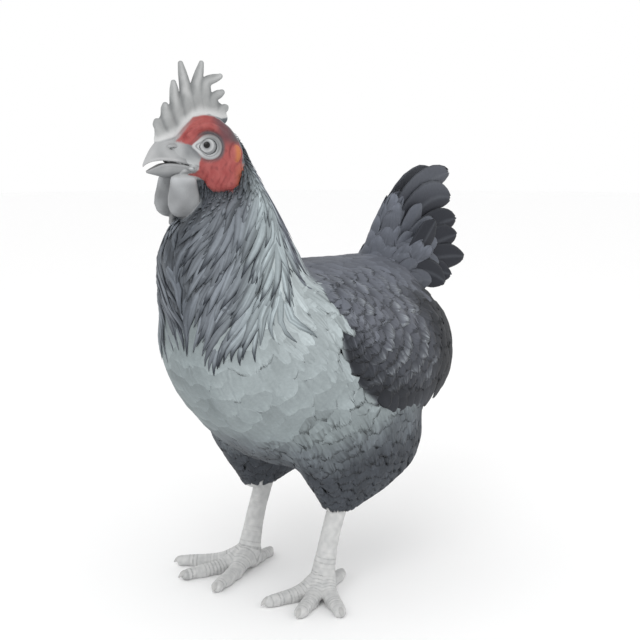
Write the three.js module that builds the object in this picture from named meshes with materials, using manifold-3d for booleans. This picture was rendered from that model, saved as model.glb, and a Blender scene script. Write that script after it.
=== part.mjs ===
// A standing chicken with a tall single comb, life size, in millimetres.
// +Z is up, the bird faces -Y and its left side is at +X. Each part of the body is one closed mesh.
import * as THREE from "three";
import { mergeVertices } from "three/addons/utils/BufferGeometryUtils.js";
import Module from "manifold-3d";

const wasm = await Module();
wasm.setup();

// ---------------------------------------------------------------- driving dimensions
const GAP = 0.3; // between two pieces that meet

// The trunk in upright slices from the breast to the rump: where the slice stands (y), the height of its
// widest line (z), its half width, and how far it rises above and drops below that line.
const TRUNK = [
  { y: -104, z: 228, half: 6, rise: 8, drop: 8 },
  { y: -101, z: 228, half: 27, rise: 30, drop: 25 },
  { y: -85, z: 226, half: 52, rise: 54, drop: 54 },
  { y: -50, z: 216, half: 71, rise: 70, drop: 83 },
  { y: -8, z: 206, half: 83, rise: 76, drop: 99 },
  { y: 40, z: 200, half: 88, rise: 82, drop: 97 },
  { y: 86, z: 204, half: 80, rise: 76, drop: 87 },
  { y: 122, z: 213, half: 63, rise: 67, drop: 72 },
  { y: 149, z: 226, half: 44, rise: 46, drop: 52 },
  { y: 169, z: 240, half: 26, rise: 28, drop: 30 },
  { y: 180, z: 247, half: 8, rise: 9, drop: 9 },
];
const TRUNK_SIDES = 18;
const TRUNK_SLICES = 13;

// The neck with its hackle, in slices square to its own axis, from the head down into the trunk: the middle
// of the slice (y, z), its half width, how far it reaches forwards and backwards, and how it leans.
const NECK = [
  { y: -50, z: 384, half: 10, front: 8, back: 8, lean: -45 },
  { y: -50, z: 372, half: 17, front: 16, back: 13, lean: -42 },
  { y: -52, z: 354, half: 27, front: 45, back: 21, lean: -30 },
  { y: -53, z: 328, half: 39, front: 66, back: 33, lean: -18 },
  { y: -45, z: 298, half: 50, front: 72, back: 44, lean: -9 },
  { y: -39, z: 266, half: 62, front: 73, back: 55, lean: -4 },
  { y: -36, z: 240, half: 66, front: 69, back: 50, lean: 0 },
  { y: -36, z: 222, half: 46, front: 46, back: 36, lean: 0 },
];
const NECK_SIDES = 15;
const NECK_SLICES = 8;

// The head turns to the bird's right. Its own frame has its origin midway between the eyes, with f forwards,
// l to the bird's left and u up.
const HEAD_AT = new THREE.Vector3(-8.5, -71, 380.5);
const HEAD_TURN = 21.5;
const HEAD = [
  { f: 39, u: -6, half: 3, top: 5, low: 6 },
  { f: 32, u: -6, half: 8, top: 10, low: 13 },
  { f: 22, u: -6, half: 12, top: 14, low: 20 },
  { f: 8, u: -4, half: 16.2, top: 23, low: 27 },
  { f: -7, u: -4, half: 17.6, top: 25.5, low: 32 },
  { f: -19, u: -5, half: 17.4, top: 21, low: 31 },
  { f: -28, u: -7, half: 13.5, top: 13, low: 24 },
  { f: -33, u: -8, half: 6, top: 6, low: 10 },
];
const HEAD_SIDES = 12;
const HEAD_SLICES = 8;
const EYE = { f: 1, u: -0.5, l: 12.4, radius: 7.2 };

// The two halves of the bill, from inside the head to the tip, parted a little in front.
const BILL_UPPER = [
  { f: 14, half: 9.5, top: 3, low: -13.5 },
  { f: 25, half: 8.8, top: 5, low: -13.2 },
  { f: 35, half: 6.6, top: 3, low: -12.4 },
  { f: 42, half: 4.4, top: -3.6, low: -13.4 },
  { f: 46.2, half: 2.6, top: -10, low: -15.4 },
  { f: 48.4, half: 0.9, top: -15, low: -17.4 },
];
const BILL_LOWER = [
  { f: 14, half: 9, top: -14.5, low: -27 },
  { f: 25, half: 8.2, top: -14.4, low: -27.5 },
  { f: 33, half: 6.2, top: -14.6, low: -25.6 },
  { f: 40, half: 4.2, top: -17.6, low: -23.6 },
  { f: 46, half: 1.4, top: -20.2, low: -21.8 },
];
const BILL_SIDES = 10;

// The comb: a crescent along the crown with a finger for each point, from its root in the crescent over a
// bend to its tip.
const COMB_CRESCENT = [
  { f: 33, u: 4 },
  { f: 27.5, u: 15 },
  { f: 15, u: 27 },
  { f: 2, u: 30 },
  { f: -10, u: 25 },
  { f: -16, u: 20 },
];
const COMB_POINTS = [
  { root: [31, 7], bend: [35.6, 12], tip: [37, 18.6], wide: 6 },
  { root: [25, 16], bend: [29.4, 23], tip: [29.8, 31.4], wide: 6.4 },
  { root: [19, 20], bend: [23, 34], tip: [22.6, 48.4], wide: 6.6 },
  { root: [12, 26], bend: [14.4, 42], tip: [15.6, 62.4], wide: 7.2 },
  { root: [2, 28], bend: [3.6, 46], tip: [-0.4, 62.8], wide: 7.6 },
  { root: [-3, 27], bend: [-4, 48], tip: [-16, 52.8], wide: 6.6 },
  { root: [-9, 24], bend: [-10.4, 37], tip: [-17, 41], wide: 6.4 },
  { root: [-13, 20], bend: [-17, 27], tip: [-20.4, 29.6], wide: 5.6 },
];
const COMB_THICK = { crown: 4.4, root: 3.4, tip: 1.7 };
const COMB_TIP = 1.9;

const WATTLES = {
  l: { f: 18.6, l: 7.4, top: -22, low: -55, half: 12.6, thick: 3.6, swing: 1 },
  r: { f: 23.4, l: -7.4, top: -22, low: -54, half: 12.4, thick: 3.6, swing: -1 },
};
const LOBE = { f: -23.4, l: 16.2, u: -8.6, half: 4.4, tall: 6.8, thick: 3.4 };

// The folded wing in upright slices from the shoulder to the tip: the middle of the slice (y, z), half its
// height, how far its face lies from the mid-plane, and how far its top and bottom edges turn in.
const WING = [
  { y: -27, z: 236, half: 8, face: 84, top: 1, low: 1, thick: 2 },
  { y: -18, z: 236, half: 30, face: 88, top: 16, low: 3, thick: 6 },
  { y: 0, z: 231, half: 41, face: 93, top: 27, low: 4, thick: 8 },
  { y: 34, z: 219, half: 49, face: 97, top: 35, low: 5, thick: 9 },
  { y: 70, z: 209, half: 55, face: 97, top: 38, low: 8, thick: 9 },
  { y: 104, z: 204, half: 55, face: 92, top: 34, low: 12, thick: 9 },
  { y: 136, z: 200, half: 51, face: 81, top: 23, low: 12, thick: 8 },
  { y: 159, z: 190, half: 37, face: 69, top: 12, low: 8, thick: 6 },
  { y: 168, z: 181, half: 13, face: 63, top: 2, low: 2, thick: 2.5 },
];
const WING_SIDES = 12;
const WING_SLICES = 8;
const WING_SPLIT = { y: 66, z: 192, rise: 20 }; // the line below and behind which the flight feathers show

// The feathered leg down to the hock, in level slices: middle (y, x), and half depths along y and x.
const THIGH = [
  { z: 196, y: 34, x: 54, deep: 40, half: 20 },
  { z: 176, y: 40, x: 53, deep: 72, half: 35 },
  { z: 150, y: 45, x: 51, deep: 78, half: 38 },
  { z: 122, y: 51, x: 50, deep: 77, half: 36 },
  { z: 100, y: 54, x: 50, deep: 65, half: 31 },
  { z: 83, y: 43, x: 50, deep: 41, half: 21 },
  { z: 73, y: 27, x: 50, deep: 19, half: 13.5 },
  { z: 68, y: 24, x: 50, deep: 12, half: 11.5 },
];
const THIGH_SIDES = 12;
const THIGH_SLICES = 7;

// Each foot: the side it stands on, the ankle, the hock, and the tip of each toe on the floor.
const FEET = {
  l: {
    ankle: [49, 6, 20],
    hock: [51, 23, 78],
    toes: { inner: [32, -49], middle: [69, -46], outer: [94, -20], hind: [36, 46] },
  },
  r: {
    ankle: [-40, 4, 20],
    hock: [-45, 29, 78],
    toes: { inner: [-19, -58], middle: [-62, -59], outer: [-92, -39], hind: [-47, 39] },
  },
};
const SHANK = [10, 8.4, 7.9, 8.2, 10]; // radii from the ankle up to the hock
const TOE = [9.6, 8.4, 7.2, 6.8, 6.2, 5.2]; // radii from the ankle out to the claw
const HIND_TOE = [7, 6.4, 5.8, 5];
// Heights of each toe's middle and end above the floor, low enough for its pads to lie flat on it.
const TOE_PADS = { front: [5.2, 3.5], hind: [4.4, 3.3] };
const CLAW = { length: 8, radius: 3.4, tip: 1 };

// The cone of flesh and coverts the tail rises from, along its own axis.
const RUMP = [
  { y: 108, z: 236, half: 22, thick: 24 },
  { y: 128, z: 247, half: 24, thick: 27 },
  { y: 146, z: 260, half: 24, thick: 28 },
  { y: 162, z: 270, half: 19, thick: 24 },
  { y: 173, z: 277, half: 8, thick: 12 },
];
const RUMP_SIDES = 9;
const RUMP_LEAN = 38;

// Tail feathers of one side, from the top one outwards: distance from the mid-plane at root and tip, where
// the feather bends, its tip, and half its width. Then the coverts that lie outside them.
const TAIL = [
  { name: "tail_front", x: [2.6, 3], bend: [148, 308], tip: [161, 336], half: 12 },
  { name: "tail_1", x: [6, 9], bend: [154, 342], tip: [230, 350], half: 15 },
  { name: "tail_2", x: [9.4, 14], bend: [172, 340], tip: [226, 325], half: 18 },
  { name: "tail_3", x: [12.8, 18.5], bend: [182, 304], tip: [229, 306], half: 16 },
  { name: "tail_4", x: [16.2, 23], bend: [186, 288], tip: [226, 291], half: 15 },
  { name: "tail_5", x: [19.6, 27.5], bend: [188, 276], tip: [232, 269], half: 13 },
  { name: "tail_6", x: [23, 32], bend: [180, 262], tip: [205, 254], half: 12 },
  { name: "tail_covert_1", x: [26.4, 31], bend: [170, 294], tip: [179, 309], half: 13 },
  { name: "tail_covert_2", x: [29.8, 37], bend: [166, 266], tip: [188, 248], half: 13 },
];
const TAIL_ROOT = [140, 262];
const BLADE = { thick: 2.4, slices: 5, sides: 6 };

// ---------------------------------------------------------------- shape helpers
const radians = THREE.MathUtils.degToRad;
const vector = (...at) => new THREE.Vector3(...at);

function solidOf(geometry) {
  const bare = geometry.clone();
  bare.deleteAttribute("normal");
  bare.deleteAttribute("uv");
  const merged = mergeVertices(bare, 1e-4);
  return new wasm.Manifold(
    new wasm.Mesh({
      numProp: 3,
      vertProperties: merged.attributes.position.array,
      triVerts: new Uint32Array(merged.index.array),
    }),
  );
}

function geometryOf(solid) {
  const mesh = solid.getMesh();
  const geometry = new THREE.BufferGeometry();
  const points = new Float32Array(mesh.numVert * 3);
  for (let i = 0; i < mesh.numVert; i++)
    points.set(mesh.vertProperties.subarray(i * mesh.numProp, i * mesh.numProp + 3), i * 3);
  geometry.setAttribute("position", new THREE.BufferAttribute(points, 3));
  geometry.setIndex(new THREE.BufferAttribute(mesh.triVerts, 1));
  return geometry;
}

// A closed solid through rings of points, each ring running the same way round, with a fan at either end.
function loft(rings) {
  const sides = rings[0].length;
  const points = rings.flat();
  const faces = [];
  const middle = (ring) => ring.reduce((sum, p) => sum.add(p), vector(0, 0, 0)).divideScalar(sides);
  for (let r = 0; r + 1 < rings.length; r++)
    for (let s = 0; s < sides; s++) {
      const a = r * sides + s;
      const b = r * sides + ((s + 1) % sides);
      faces.push(a, b, a + sides, b, b + sides, a + sides);
    }
  const first = points.push(middle(rings[0])) - 1;
  const last = points.push(middle(rings.at(-1))) - 1;
  const end = (rings.length - 1) * sides;
  for (let s = 0; s < sides; s++) {
    const next = (s + 1) % sides;
    faces.push(first, next, s, last, end + s, end + next);
  }
  const geometry = new THREE.BufferGeometry().setFromPoints(points);
  geometry.setIndex(faces);
  if (solidOf(geometry).volume() < 0) {
    const index = geometry.index.array;
    for (let i = 0; i < index.length; i += 3) [index[i + 1], index[i + 2]] = [index[i + 2], index[i + 1]];
  }
  return solidOf(geometry);
}

// A value of the stations at t from 0 to 1, on a smooth curve through them.
function along(stations, key, t) {
  const place = t * (stations.length - 1);
  const i = Math.min(stations.length - 2, Math.floor(place));
  const at = (k) => stations[THREE.MathUtils.clamp(k, 0, stations.length - 1)][key];
  const f = place - i;
  const [a, b, c, d] = [at(i - 1), at(i), at(i + 1), at(i + 2)];
  return b + 0.5 * f * (c - a + f * (2 * a - 5 * b + 4 * c - d + f * (3 * (b - c) + d - a)));
}

// A solid through slices of stations: place(get, angle, t) gives the point of a slice at an angle round it.
function body(stations, slices, sides, place) {
  const rings = [];
  for (let i = 0; i <= slices; i++) {
    const t = i / slices;
    const get = (key) => along(stations, key, t);
    rings.push(Array.from({ length: sides }, (_, s) => place(get, (2 * Math.PI * s) / sides, t)));
  }
  return loft(rings);
}

// A rod along a smooth curve through points, with a radius at each of its stations and a flatter height.
function rod(points, radii, sides, slices, flat = 1) {
  const curve = new THREE.CatmullRomCurve3(points);
  const stations = radii.map((radius) => ({ radius }));
  return body(stations, slices, sides, (get, angle, t) => {
    const ahead = curve.getTangentAt(t);
    const across = vector(0, 0, 1).cross(ahead);
    if (across.length() < 0.5) across.set(1, 0, 0);
    across.normalize();
    const over = ahead.clone().cross(across);
    const point = curve.getPointAt(t).addScaledVector(across, get("radius") * Math.cos(angle));
    return point.addScaledVector(over, get("radius") * flat * Math.sin(angle));
  });
}

function boxAt(size, centre, pitch = 0) {
  const box = new THREE.BoxGeometry(...size);
  box.rotateX(pitch);
  box.translate(...centre);
  return solidOf(box);
}

const mirrored = (solid) => solid.mirror([1, 0, 0]);
const power = (x, n) => Math.sign(x) * Math.abs(x) ** n;
const SQUARENESS = 0.9; // under 1 fills a slice's corners a little

// A point of the head's own frame, in the bird's frame.
function inHead(f, l, u) {
  const turn = radians(HEAD_TURN);
  const forward = vector(-Math.sin(turn), -Math.cos(turn), 0);
  const left = vector(Math.cos(turn), -Math.sin(turn), 0);
  return HEAD_AT.clone().addScaledVector(forward, f).addScaledVector(left, l).add(vector(0, 0, u));
}

// ---------------------------------------------------------------- trunk, rump and neck
function trunk(grow = 0) {
  return body(TRUNK, TRUNK_SLICES, TRUNK_SIDES, (get, angle, t) => {
    const up = Math.sin(angle);
    const height = (up > 0 ? get("rise") : get("drop")) + grow;
    const outward = t < 0.1 ? -grow : t > 0.9 ? grow : 0;
    return vector(
      (get("half") + grow) * power(Math.cos(angle), SQUARENESS),
      get("y") + outward,
      get("z") + height * power(up, SQUARENESS),
    );
  });
}

function rump(grow = 0) {
  const over = vector(0, -Math.sin(radians(RUMP_LEAN)), Math.cos(radians(RUMP_LEAN)));
  return body(RUMP, 5, RUMP_SIDES, (get, angle, t) => {
    const point = vector((get("half") + grow) * Math.cos(angle), get("y") + (t > 0.9 ? grow : 0), get("z"));
    return point.addScaledVector(over, (get("thick") + grow) * Math.sin(angle));
  });
}

function neck(grow = 0) {
  return body(NECK, NECK_SLICES, NECK_SIDES, (get, angle) => {
    const lean = radians(get("lean"));
    const ahead = Math.sin(angle);
    const reach = (ahead > 0 ? get("front") : get("back")) + grow;
    const point = vector((get("half") + grow) * Math.cos(angle), get("y"), get("z"));
    return point.addScaledVector(vector(0, -Math.cos(lean), Math.sin(lean)), reach * ahead);
  });
}

// ---------------------------------------------------------------- head
function skull(grow = 0) {
  return body(HEAD, HEAD_SLICES, HEAD_SIDES, (get, angle, t) => {
    const up = Math.sin(angle);
    const height = (up > 0 ? get("top") : get("low")) + grow;
    const outward = t < 0.1 ? grow : t > 0.9 ? -grow : 0;
    return inHead(get("f") + outward, (get("half") + grow) * Math.cos(angle), get("u") + height * up);
  });
}

function eye(side, grow = 0) {
  const ball = new THREE.IcosahedronGeometry(EYE.radius + grow, 2);
  const at = inHead(EYE.f, side * EYE.l, EYE.u);
  return solidOf(ball.translate(at.x, at.y, at.z));
}

function bill(stations, grow = 0) {
  return body(stations, 7, BILL_SIDES, (get, angle) => {
    const middle = (get("top") + get("low")) / 2;
    const height = (get("top") - get("low")) / 2 + grow;
    return inHead(get("f"), (get("half") + grow) * power(Math.cos(angle), 0.85), middle + height * Math.sin(angle));
  });
}

// A finger or band in the head's mid-plane along a curve, `wide` being half its width at each station.
function midPlaneRod(points, stations, slices, sides) {
  const curve = new THREE.CatmullRomCurve3(points.map(([f, u]) => vector(f, u, 0)));
  return body(stations, slices, sides, (get, angle, t) => {
    const ahead = curve.getTangentAt(t);
    const point = curve.getPointAt(t).addScaledVector(vector(-ahead.y, ahead.x, 0), get("wide") * Math.cos(angle));
    return inHead(point.x, get("thick") * Math.sin(angle), point.y);
  });
}

function comb() {
  const { crown, root, tip } = COMB_THICK;
  const bands = [7, 9.5, 10.5, 10.5, 9, 6].map((wide) => ({ wide, thick: crown }));
  const crescent = midPlaneRod(COMB_CRESCENT.map(({ f, u }) => [f, u]), bands, 6, 6);
  const fingers = COMB_POINTS.map((point) => {
    const stations = [
      { wide: point.wide, thick: root },
      { wide: point.wide * 0.92, thick: root },
      { wide: point.wide * 0.62, thick: (root + tip) / 2 },
      { wide: COMB_TIP * 1.5, thick: tip },
      { wide: COMB_TIP * 0.9, thick: tip * 0.7 },
    ];
    return midPlaneRod([point.root, point.bend, point.tip], stations, 4, 5);
  });
  return fingers.reduce((sum, finger) => sum.add(finger), crescent);
}

function wattle({ f, l, top, low, half, thick, swing }) {
  const stations = [
    { t: 0, wide: 0.5, thick: 0.6 },
    { t: 0.1, wide: 0.72, thick: 0.9 },
    { t: 0.35, wide: 0.9, thick: 1 },
    { t: 0.65, wide: 1, thick: 1 },
    { t: 0.88, wide: 0.72, thick: 0.8 },
    { t: 1, wide: 0.2, thick: 0.3 },
  ];
  return body(stations, 6, 10, (get, angle) => {
    const u = top + (low - top) * get("t");
    const lean = swing * 2.5 * get("t");
    return inHead(
      f + half * get("wide") * Math.cos(angle),
      l + lean + thick * get("thick") * Math.sin(angle),
      u,
    );
  });
}

function lobe(side) {
  const ball = new THREE.SphereGeometry(1, 10, 8);
  ball.scale(LOBE.half, LOBE.thick, LOBE.tall);
  ball.rotateZ(-Math.PI / 2 - radians(HEAD_TURN));
  const at = inHead(LOBE.f, side * LOBE.l, LOBE.u);
  return solidOf(ball.translate(at.x, at.y, at.z));
}

// ---------------------------------------------------------------- wings
function wing(grow = 0) {
  return body(WING, WING_SLICES, WING_SIDES, (get, angle, t) => {
    const up = Math.cos(angle);
    const thick = get("thick") + grow;
    const turnIn = (up > 0 ? get("top") : get("low")) * up * up;
    const outward = t < 0.05 ? -grow : t > 0.95 ? grow : 0;
    return vector(
      get("face") + grow - thick - turnIn + thick * Math.sin(angle),
      get("y") + outward,
      get("z") + (get("half") + grow) * up,
    );
  });
}

// The block under the wing's slanting split line, moved down by `drop`.
function underSplit(drop) {
  const size = 400;
  const pitch = radians(WING_SPLIT.rise);
  const below = size / 2 + drop;
  return boxAt(
    [size, size, size],
    [0, WING_SPLIT.y + below * Math.sin(pitch), WING_SPLIT.z - below * Math.cos(pitch)],
    pitch,
  );
}

// ---------------------------------------------------------------- legs
function thigh(grow = 0) {
  return body(THIGH, THIGH_SLICES, THIGH_SIDES, (get, angle, t) =>
    vector(
      get("x") + (get("half") + grow) * Math.cos(angle),
      get("y") + (get("deep") + grow) * Math.sin(angle),
      get("z") + (t > 0.9 ? -grow : t < 0.1 ? grow : 0),
    ),
  );
}

const floor = boxAt([600, 600, 40], [0, 0, -20]);

function shank({ ankle, hock }, grow = 0) {
  const [a, h] = [vector(...ankle), vector(...hock)];
  const middle = a.clone().lerp(h, 0.5).add(vector(0, -1.5, 0));
  return rod([a, middle, h], SHANK.map((radius) => radius + grow), 12, 4);
}

// The way a toe runs from the ankle to where its claw begins, and on along the claw.
function toeLine({ ankle }, [x, y], hind) {
  const from = vector(ankle[0], ankle[1], hind ? 11 : 16);
  const tip = vector(x, y, 4.2);
  const way = tip.clone().sub(from).setZ(0).normalize();
  const end = tip.clone().addScaledVector(way, -CLAW.length + 2);
  const knuckle = from.clone().lerp(end, 0.45).setZ(TOE_PADS[hind ? "hind" : "front"][0]);
  return { from, knuckle, end, way };
}

function toe(foot, tip, hind) {
  const { from, knuckle, end } = toeLine(foot, tip, hind);
  const radii = hind ? HIND_TOE : TOE;
  const height = TOE_PADS[hind ? "hind" : "front"][1];
  return rod([from, knuckle, end.clone().setZ(height)], radii, 6, 3, 0.9);
}

function claw(foot, tip, hind, grow = 0) {
  const { end, way } = toeLine(foot, tip, hind);
  const start = end.clone().addScaledVector(way, -2 - grow).setZ(5.4);
  const middle = end.clone().addScaledVector(way, 3).setZ(5.4);
  const point = end.clone().addScaledVector(way, CLAW.length - 2).setZ(2.1);
  const radii = [CLAW.radius, CLAW.radius * 0.85, CLAW.tip].map((radius) => radius + grow);
  return rod([start, middle, point], radii, 5, 3);
}

function toes(foot) {
  const heel = solidOf(new THREE.SphereGeometry(11, 8, 6).scale(1, 1, 0.9).translate(foot.ankle[0], foot.ankle[1], 8));
  const all = Object.entries(foot.toes).map(([name, tip]) => toe(foot, tip, name === "hind"));
  const whole = all.reduce((sum, one) => sum.add(one), heel).subtract(floor).subtract(shank(foot, GAP));
  const claws = Object.entries(foot.toes).map(([name, tip]) => claw(foot, tip, name === "hind", GAP));
  return claws.reduce((rest, one) => rest.subtract(one), whole);
}

// ---------------------------------------------------------------- tail
function blade({ x, bend, tip, half }) {
  const root = vector(x[0], ...TAIL_ROOT);
  const end = vector(x[1], ...tip);
  const spine = new THREE.QuadraticBezierCurve3(root, vector((x[0] + x[1]) / 2, ...bend), end);
  const stations = [0.35, 0.8, 1, 1, 0.94, 0.72, 0.3].map((wide) => ({ wide }));
  return body(stations, BLADE.slices, BLADE.sides, (get, angle, t) => {
    const ahead = spine.getTangentAt(t);
    const across = vector(0, -ahead.z, ahead.y).normalize();
    const point = spine.getPointAt(t).addScaledVector(across, half * get("wide") * Math.cos(angle));
    return point.add(vector((BLADE.thick / 2) * Math.sin(angle), 0, 0));
  });
}

// ---------------------------------------------------------------- assembly
const chicken = new THREE.Group();
function add(name, solid, color, roughness = 0.8) {
  const mesh = new THREE.Mesh(geometryOf(solid), new THREE.MeshStandardMaterial({ color, roughness, metalness: 0 }));
  mesh.name = name;
  chicken.add(mesh);
  return mesh;
}

const COLORS = {
  pale: 0xb4bcbf,
  hackle: 0x8a9096,
  slate: 0x5d616b,
  dark: 0x44474f,
  horn: 0xb9b9b7,
  red: 0xb85048,
  orange: 0xc87848,
  eye: 0xd2d2cf,
};

const grownTrunk = trunk(GAP);
const grownHead = skull(GAP);
add("trunk", trunk(), COLORS.pale);
add("rump", rump().subtract(grownTrunk), COLORS.slate);
add("neck", neck().subtract(grownTrunk).subtract(grownHead), COLORS.hackle);

const eyeHoles = eye(1, GAP).add(eye(-1, GAP));
add("head", skull().subtract(eyeHoles), COLORS.red);
add("comb", comb().subtract(grownHead).subtract(bill(BILL_UPPER, GAP)), COLORS.horn);
add("bill_upper", bill(BILL_UPPER).subtract(grownHead), COLORS.horn, 0.5);
add("bill_lower", bill(BILL_LOWER).subtract(grownHead), COLORS.horn, 0.5);

for (const [side, sign] of [["l", 1], ["r", -1]]) {
  const flip = (solid) => (sign > 0 ? solid : mirrored(solid));
  const foot = FEET[side];
  add(`eye_${side}`, eye(sign), COLORS.eye, 0.2);
  const behind = grownHead.add(neck(GAP)).add(bill(BILL_LOWER, GAP));
  add(`wattle_${side}`, wattle(WATTLES[side]).subtract(behind), COLORS.horn);
  add(`ear_lobe_${side}`, lobe(sign).subtract(grownHead).subtract(neck(GAP)), COLORS.orange);

  const wholeWing = flip(wing()).subtract(grownTrunk);
  add(`wing_${side}`, wholeWing.subtract(underSplit(0)), COLORS.slate);
  add(`flight_${side}`, wholeWing.intersect(underSplit(GAP)), COLORS.dark);
  add(`thigh_${side}`, flip(thigh()).subtract(grownTrunk).subtract(flip(wing(GAP))), COLORS.slate);

  const grownThigh = flip(thigh(GAP));
  add(`shank_${side}`, shank(foot).subtract(grownThigh), COLORS.horn);
  add(`toes_${side}`, toes(foot), COLORS.horn);
  for (const [name, tip] of Object.entries(foot.toes))
    add(`claw_${name}_${side}`, claw(foot, tip, name === "hind"), COLORS.horn);

  const base = rump(GAP).add(grownTrunk);
  for (const feather of TAIL) add(`${feather.name}_${side}`, flip(blade(feather)).subtract(base), COLORS.dark);
}

const box = new THREE.Box3().setFromObject(chicken);
const middle = box.getCenter(vector());
for (const mesh of chicken.children) mesh.geometry.translate(-middle.x, -middle.y, -box.min.z);

export default chicken;
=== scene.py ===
"""A standing hen: one skin, a bill, eyes and claws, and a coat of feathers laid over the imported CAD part."""

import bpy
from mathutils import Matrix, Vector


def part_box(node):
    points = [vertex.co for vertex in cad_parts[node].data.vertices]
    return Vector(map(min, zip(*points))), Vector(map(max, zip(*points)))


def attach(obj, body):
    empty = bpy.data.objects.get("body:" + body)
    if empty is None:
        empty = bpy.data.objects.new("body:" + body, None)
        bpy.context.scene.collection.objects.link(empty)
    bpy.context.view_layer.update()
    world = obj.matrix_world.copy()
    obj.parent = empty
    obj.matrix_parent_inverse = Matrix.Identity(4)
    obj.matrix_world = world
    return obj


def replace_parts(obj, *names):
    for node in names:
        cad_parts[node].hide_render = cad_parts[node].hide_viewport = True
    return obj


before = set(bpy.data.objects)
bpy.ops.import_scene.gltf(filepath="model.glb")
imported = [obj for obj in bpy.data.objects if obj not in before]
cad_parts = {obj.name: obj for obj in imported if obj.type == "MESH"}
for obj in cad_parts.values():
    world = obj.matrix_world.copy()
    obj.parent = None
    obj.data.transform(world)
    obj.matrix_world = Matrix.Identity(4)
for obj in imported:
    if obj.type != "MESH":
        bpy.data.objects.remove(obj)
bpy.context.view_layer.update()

import functools
import math

import bmesh
import bpy
import numpy as np
import openvdb
from mathutils import Vector
from mathutils.kdtree import KDTree

SEED = 20
MM = 1000.0  # millimetres in a metre
FAR = 30.0  # the distance that an empty grid starts from
MARGIN = 4.0  # how far round a shape its distances are worked out

# ---------------------------------------------------------------- places, in millimetres
# The bird stands along Y with its bill towards -Y. Points here are in its own frame, which SHIFT
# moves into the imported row's frame. The head has a frame of its own: f forward, l left, u up.
HEAD_AT = np.array((-8.5, -71.0, 380.5))
HEAD_TURN = math.radians(21.5)
FORWARD = np.array((-math.sin(HEAD_TURN), -math.cos(HEAD_TURN), 0.0))
LEFT = np.array((math.cos(HEAD_TURN), -math.sin(HEAD_TURN), 0.0))
UP = np.array((0.0, 0.0, 1.0))
EYE = (1.0, 12.4, -0.5)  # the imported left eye's middle
BALL, BALL_RADIUS = (0.4, 12.0, -1.5), 7.6  # the left eyeball shown, turned a little forward and up
GAZE = (0.355, 0.925, 0.13)
SIDES = {1: "l", -1: "r"}


def from_head(points):
    """Points of the head's frame, in the bird's frame."""
    points = np.asarray(points, float)
    return HEAD_AT + points[..., :1] * FORWARD + points[..., 1:2] * LEFT + points[..., 2:] * UP


def to_head(points):
    """Points of the bird's frame, in the head's frame."""
    moved = np.asarray(points, float) - HEAD_AT
    return np.stack([moved @ FORWARD, moved @ LEFT, moved @ UP], -1)


def eye_shift():
    """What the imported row's frame lies away from the bird's own, found from the left eye's solid."""
    low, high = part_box("eye_l")
    packed = (np.array(low) + np.array(high)) / 2 * MM
    return from_head(EYE) - packed


SHIFT = eye_shift()


def to_row(points):
    """Points of the bird's frame in millimetres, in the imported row's frame in metres."""
    return (np.asarray(points, float) - SHIFT) / MM


def smoothstep(low, high, value):
    """0 at `low`, 1 at `high`, and smooth between them."""
    t = np.clip((value - low) / (high - low), 0.0, 1.0)
    return t * t * (3.0 - 2.0 * t)


def mix(a, b, t):
    """A share t of the way from a to b."""
    return a + (b - a) * t


def smooth_min(a, b, blend):
    """The smaller of two distances, rounded where they meet."""
    h = np.maximum(blend - np.abs(a - b), 0.0) / blend
    return np.minimum(a, b) - h * h * blend * 0.25


def ridge(value, at, width):
    """1 where a value is `at`, falling smoothly to 0 on both sides."""
    return np.exp(-(((value - at) / width) ** 2))


def unit(ways, least=1e-6):
    """Directions of length 1."""
    return ways / np.maximum(np.linalg.norm(ways, axis=-1, keepdims=True), least)


# ---------------------------------------------------------------- grids of distances
class Grid:
    """Distances to a surface on a regular grid, negative inside it."""

    def __init__(self, low, high, step):
        self.step = step
        self.first = np.floor(np.array(low) / step).astype(int)
        last = np.ceil(np.array(high) / step).astype(int)
        self.shape = tuple(last - self.first + 1)
        self.low = self.first * step
        self.d = np.full(self.shape, FAR, np.float32)

    def window(self, low, high):
        """The slices between two corners, and the coordinates along each axis."""
        a = np.clip(np.floor((np.array(low) - self.low) / self.step).astype(int), 0, np.array(self.shape) - 1)
        b = np.clip(np.ceil((np.array(high) - self.low) / self.step).astype(int) + 1, 1, self.shape)
        axes = [(np.arange(a[i], b[i]) * self.step + self.low[i]).astype(np.float32) for i in range(3)]
        slices = tuple(slice(a[i], b[i]) for i in range(3))
        return slices, (axes[0][:, None, None], axes[1][None, :, None], axes[2][None, None, :])

    def join(self, slices, distance, blend=0.0):
        """Adds a shape."""
        here = self.d[slices]
        self.d[slices] = smooth_min(here, distance, blend) if blend else np.minimum(here, distance)

    def carve(self, slices, distance, blend=0.0):
        """Takes a shape away."""
        here = self.d[slices]
        self.d[slices] = -smooth_min(-here, distance, blend) if blend else np.maximum(here, -distance)

    def mesh(self, level=0.0):
        """The closed surface at a level: points, and faces of four corners."""
        sealed = self.d.copy()
        for axis in range(3):
            for end in (0, -1):
                face = [slice(None)] * 3
                face[axis] = end
                sealed[tuple(face)] = FAR
        grid = openvdb.FloatGrid(FAR)
        grid.copyFromArray(sealed)
        points, _, quads = grid.convertToPolygons(isovalue=level, adaptivity=0.0)
        return points * self.step + self.low, np.asarray(quads)

    def part(self, slices):
        """An empty grid over some slices of this one."""
        own = Grid.__new__(Grid)
        own.step, own.low = self.step, self.low + np.array([s.start for s in slices]) * self.step
        own.shape = tuple(s.stop - s.start for s in slices)
        own.d = np.full(own.shape, FAR, np.float32)
        return own

    def field(self):
        return Field(self.d, self.low, self.step)


class Surface:
    """Something with a distance and a unit slope at points, that points can be settled onto."""

    def settle(self, points, height=0.0, rounds=2):
        """Points moved along the slope until they lie at a height, with the slope there."""
        for _ in range(rounds):
            distance, slope = self.at(points)
            points = points - (distance - height)[..., None] * slope
        return points, self.at(points)[1]


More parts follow.
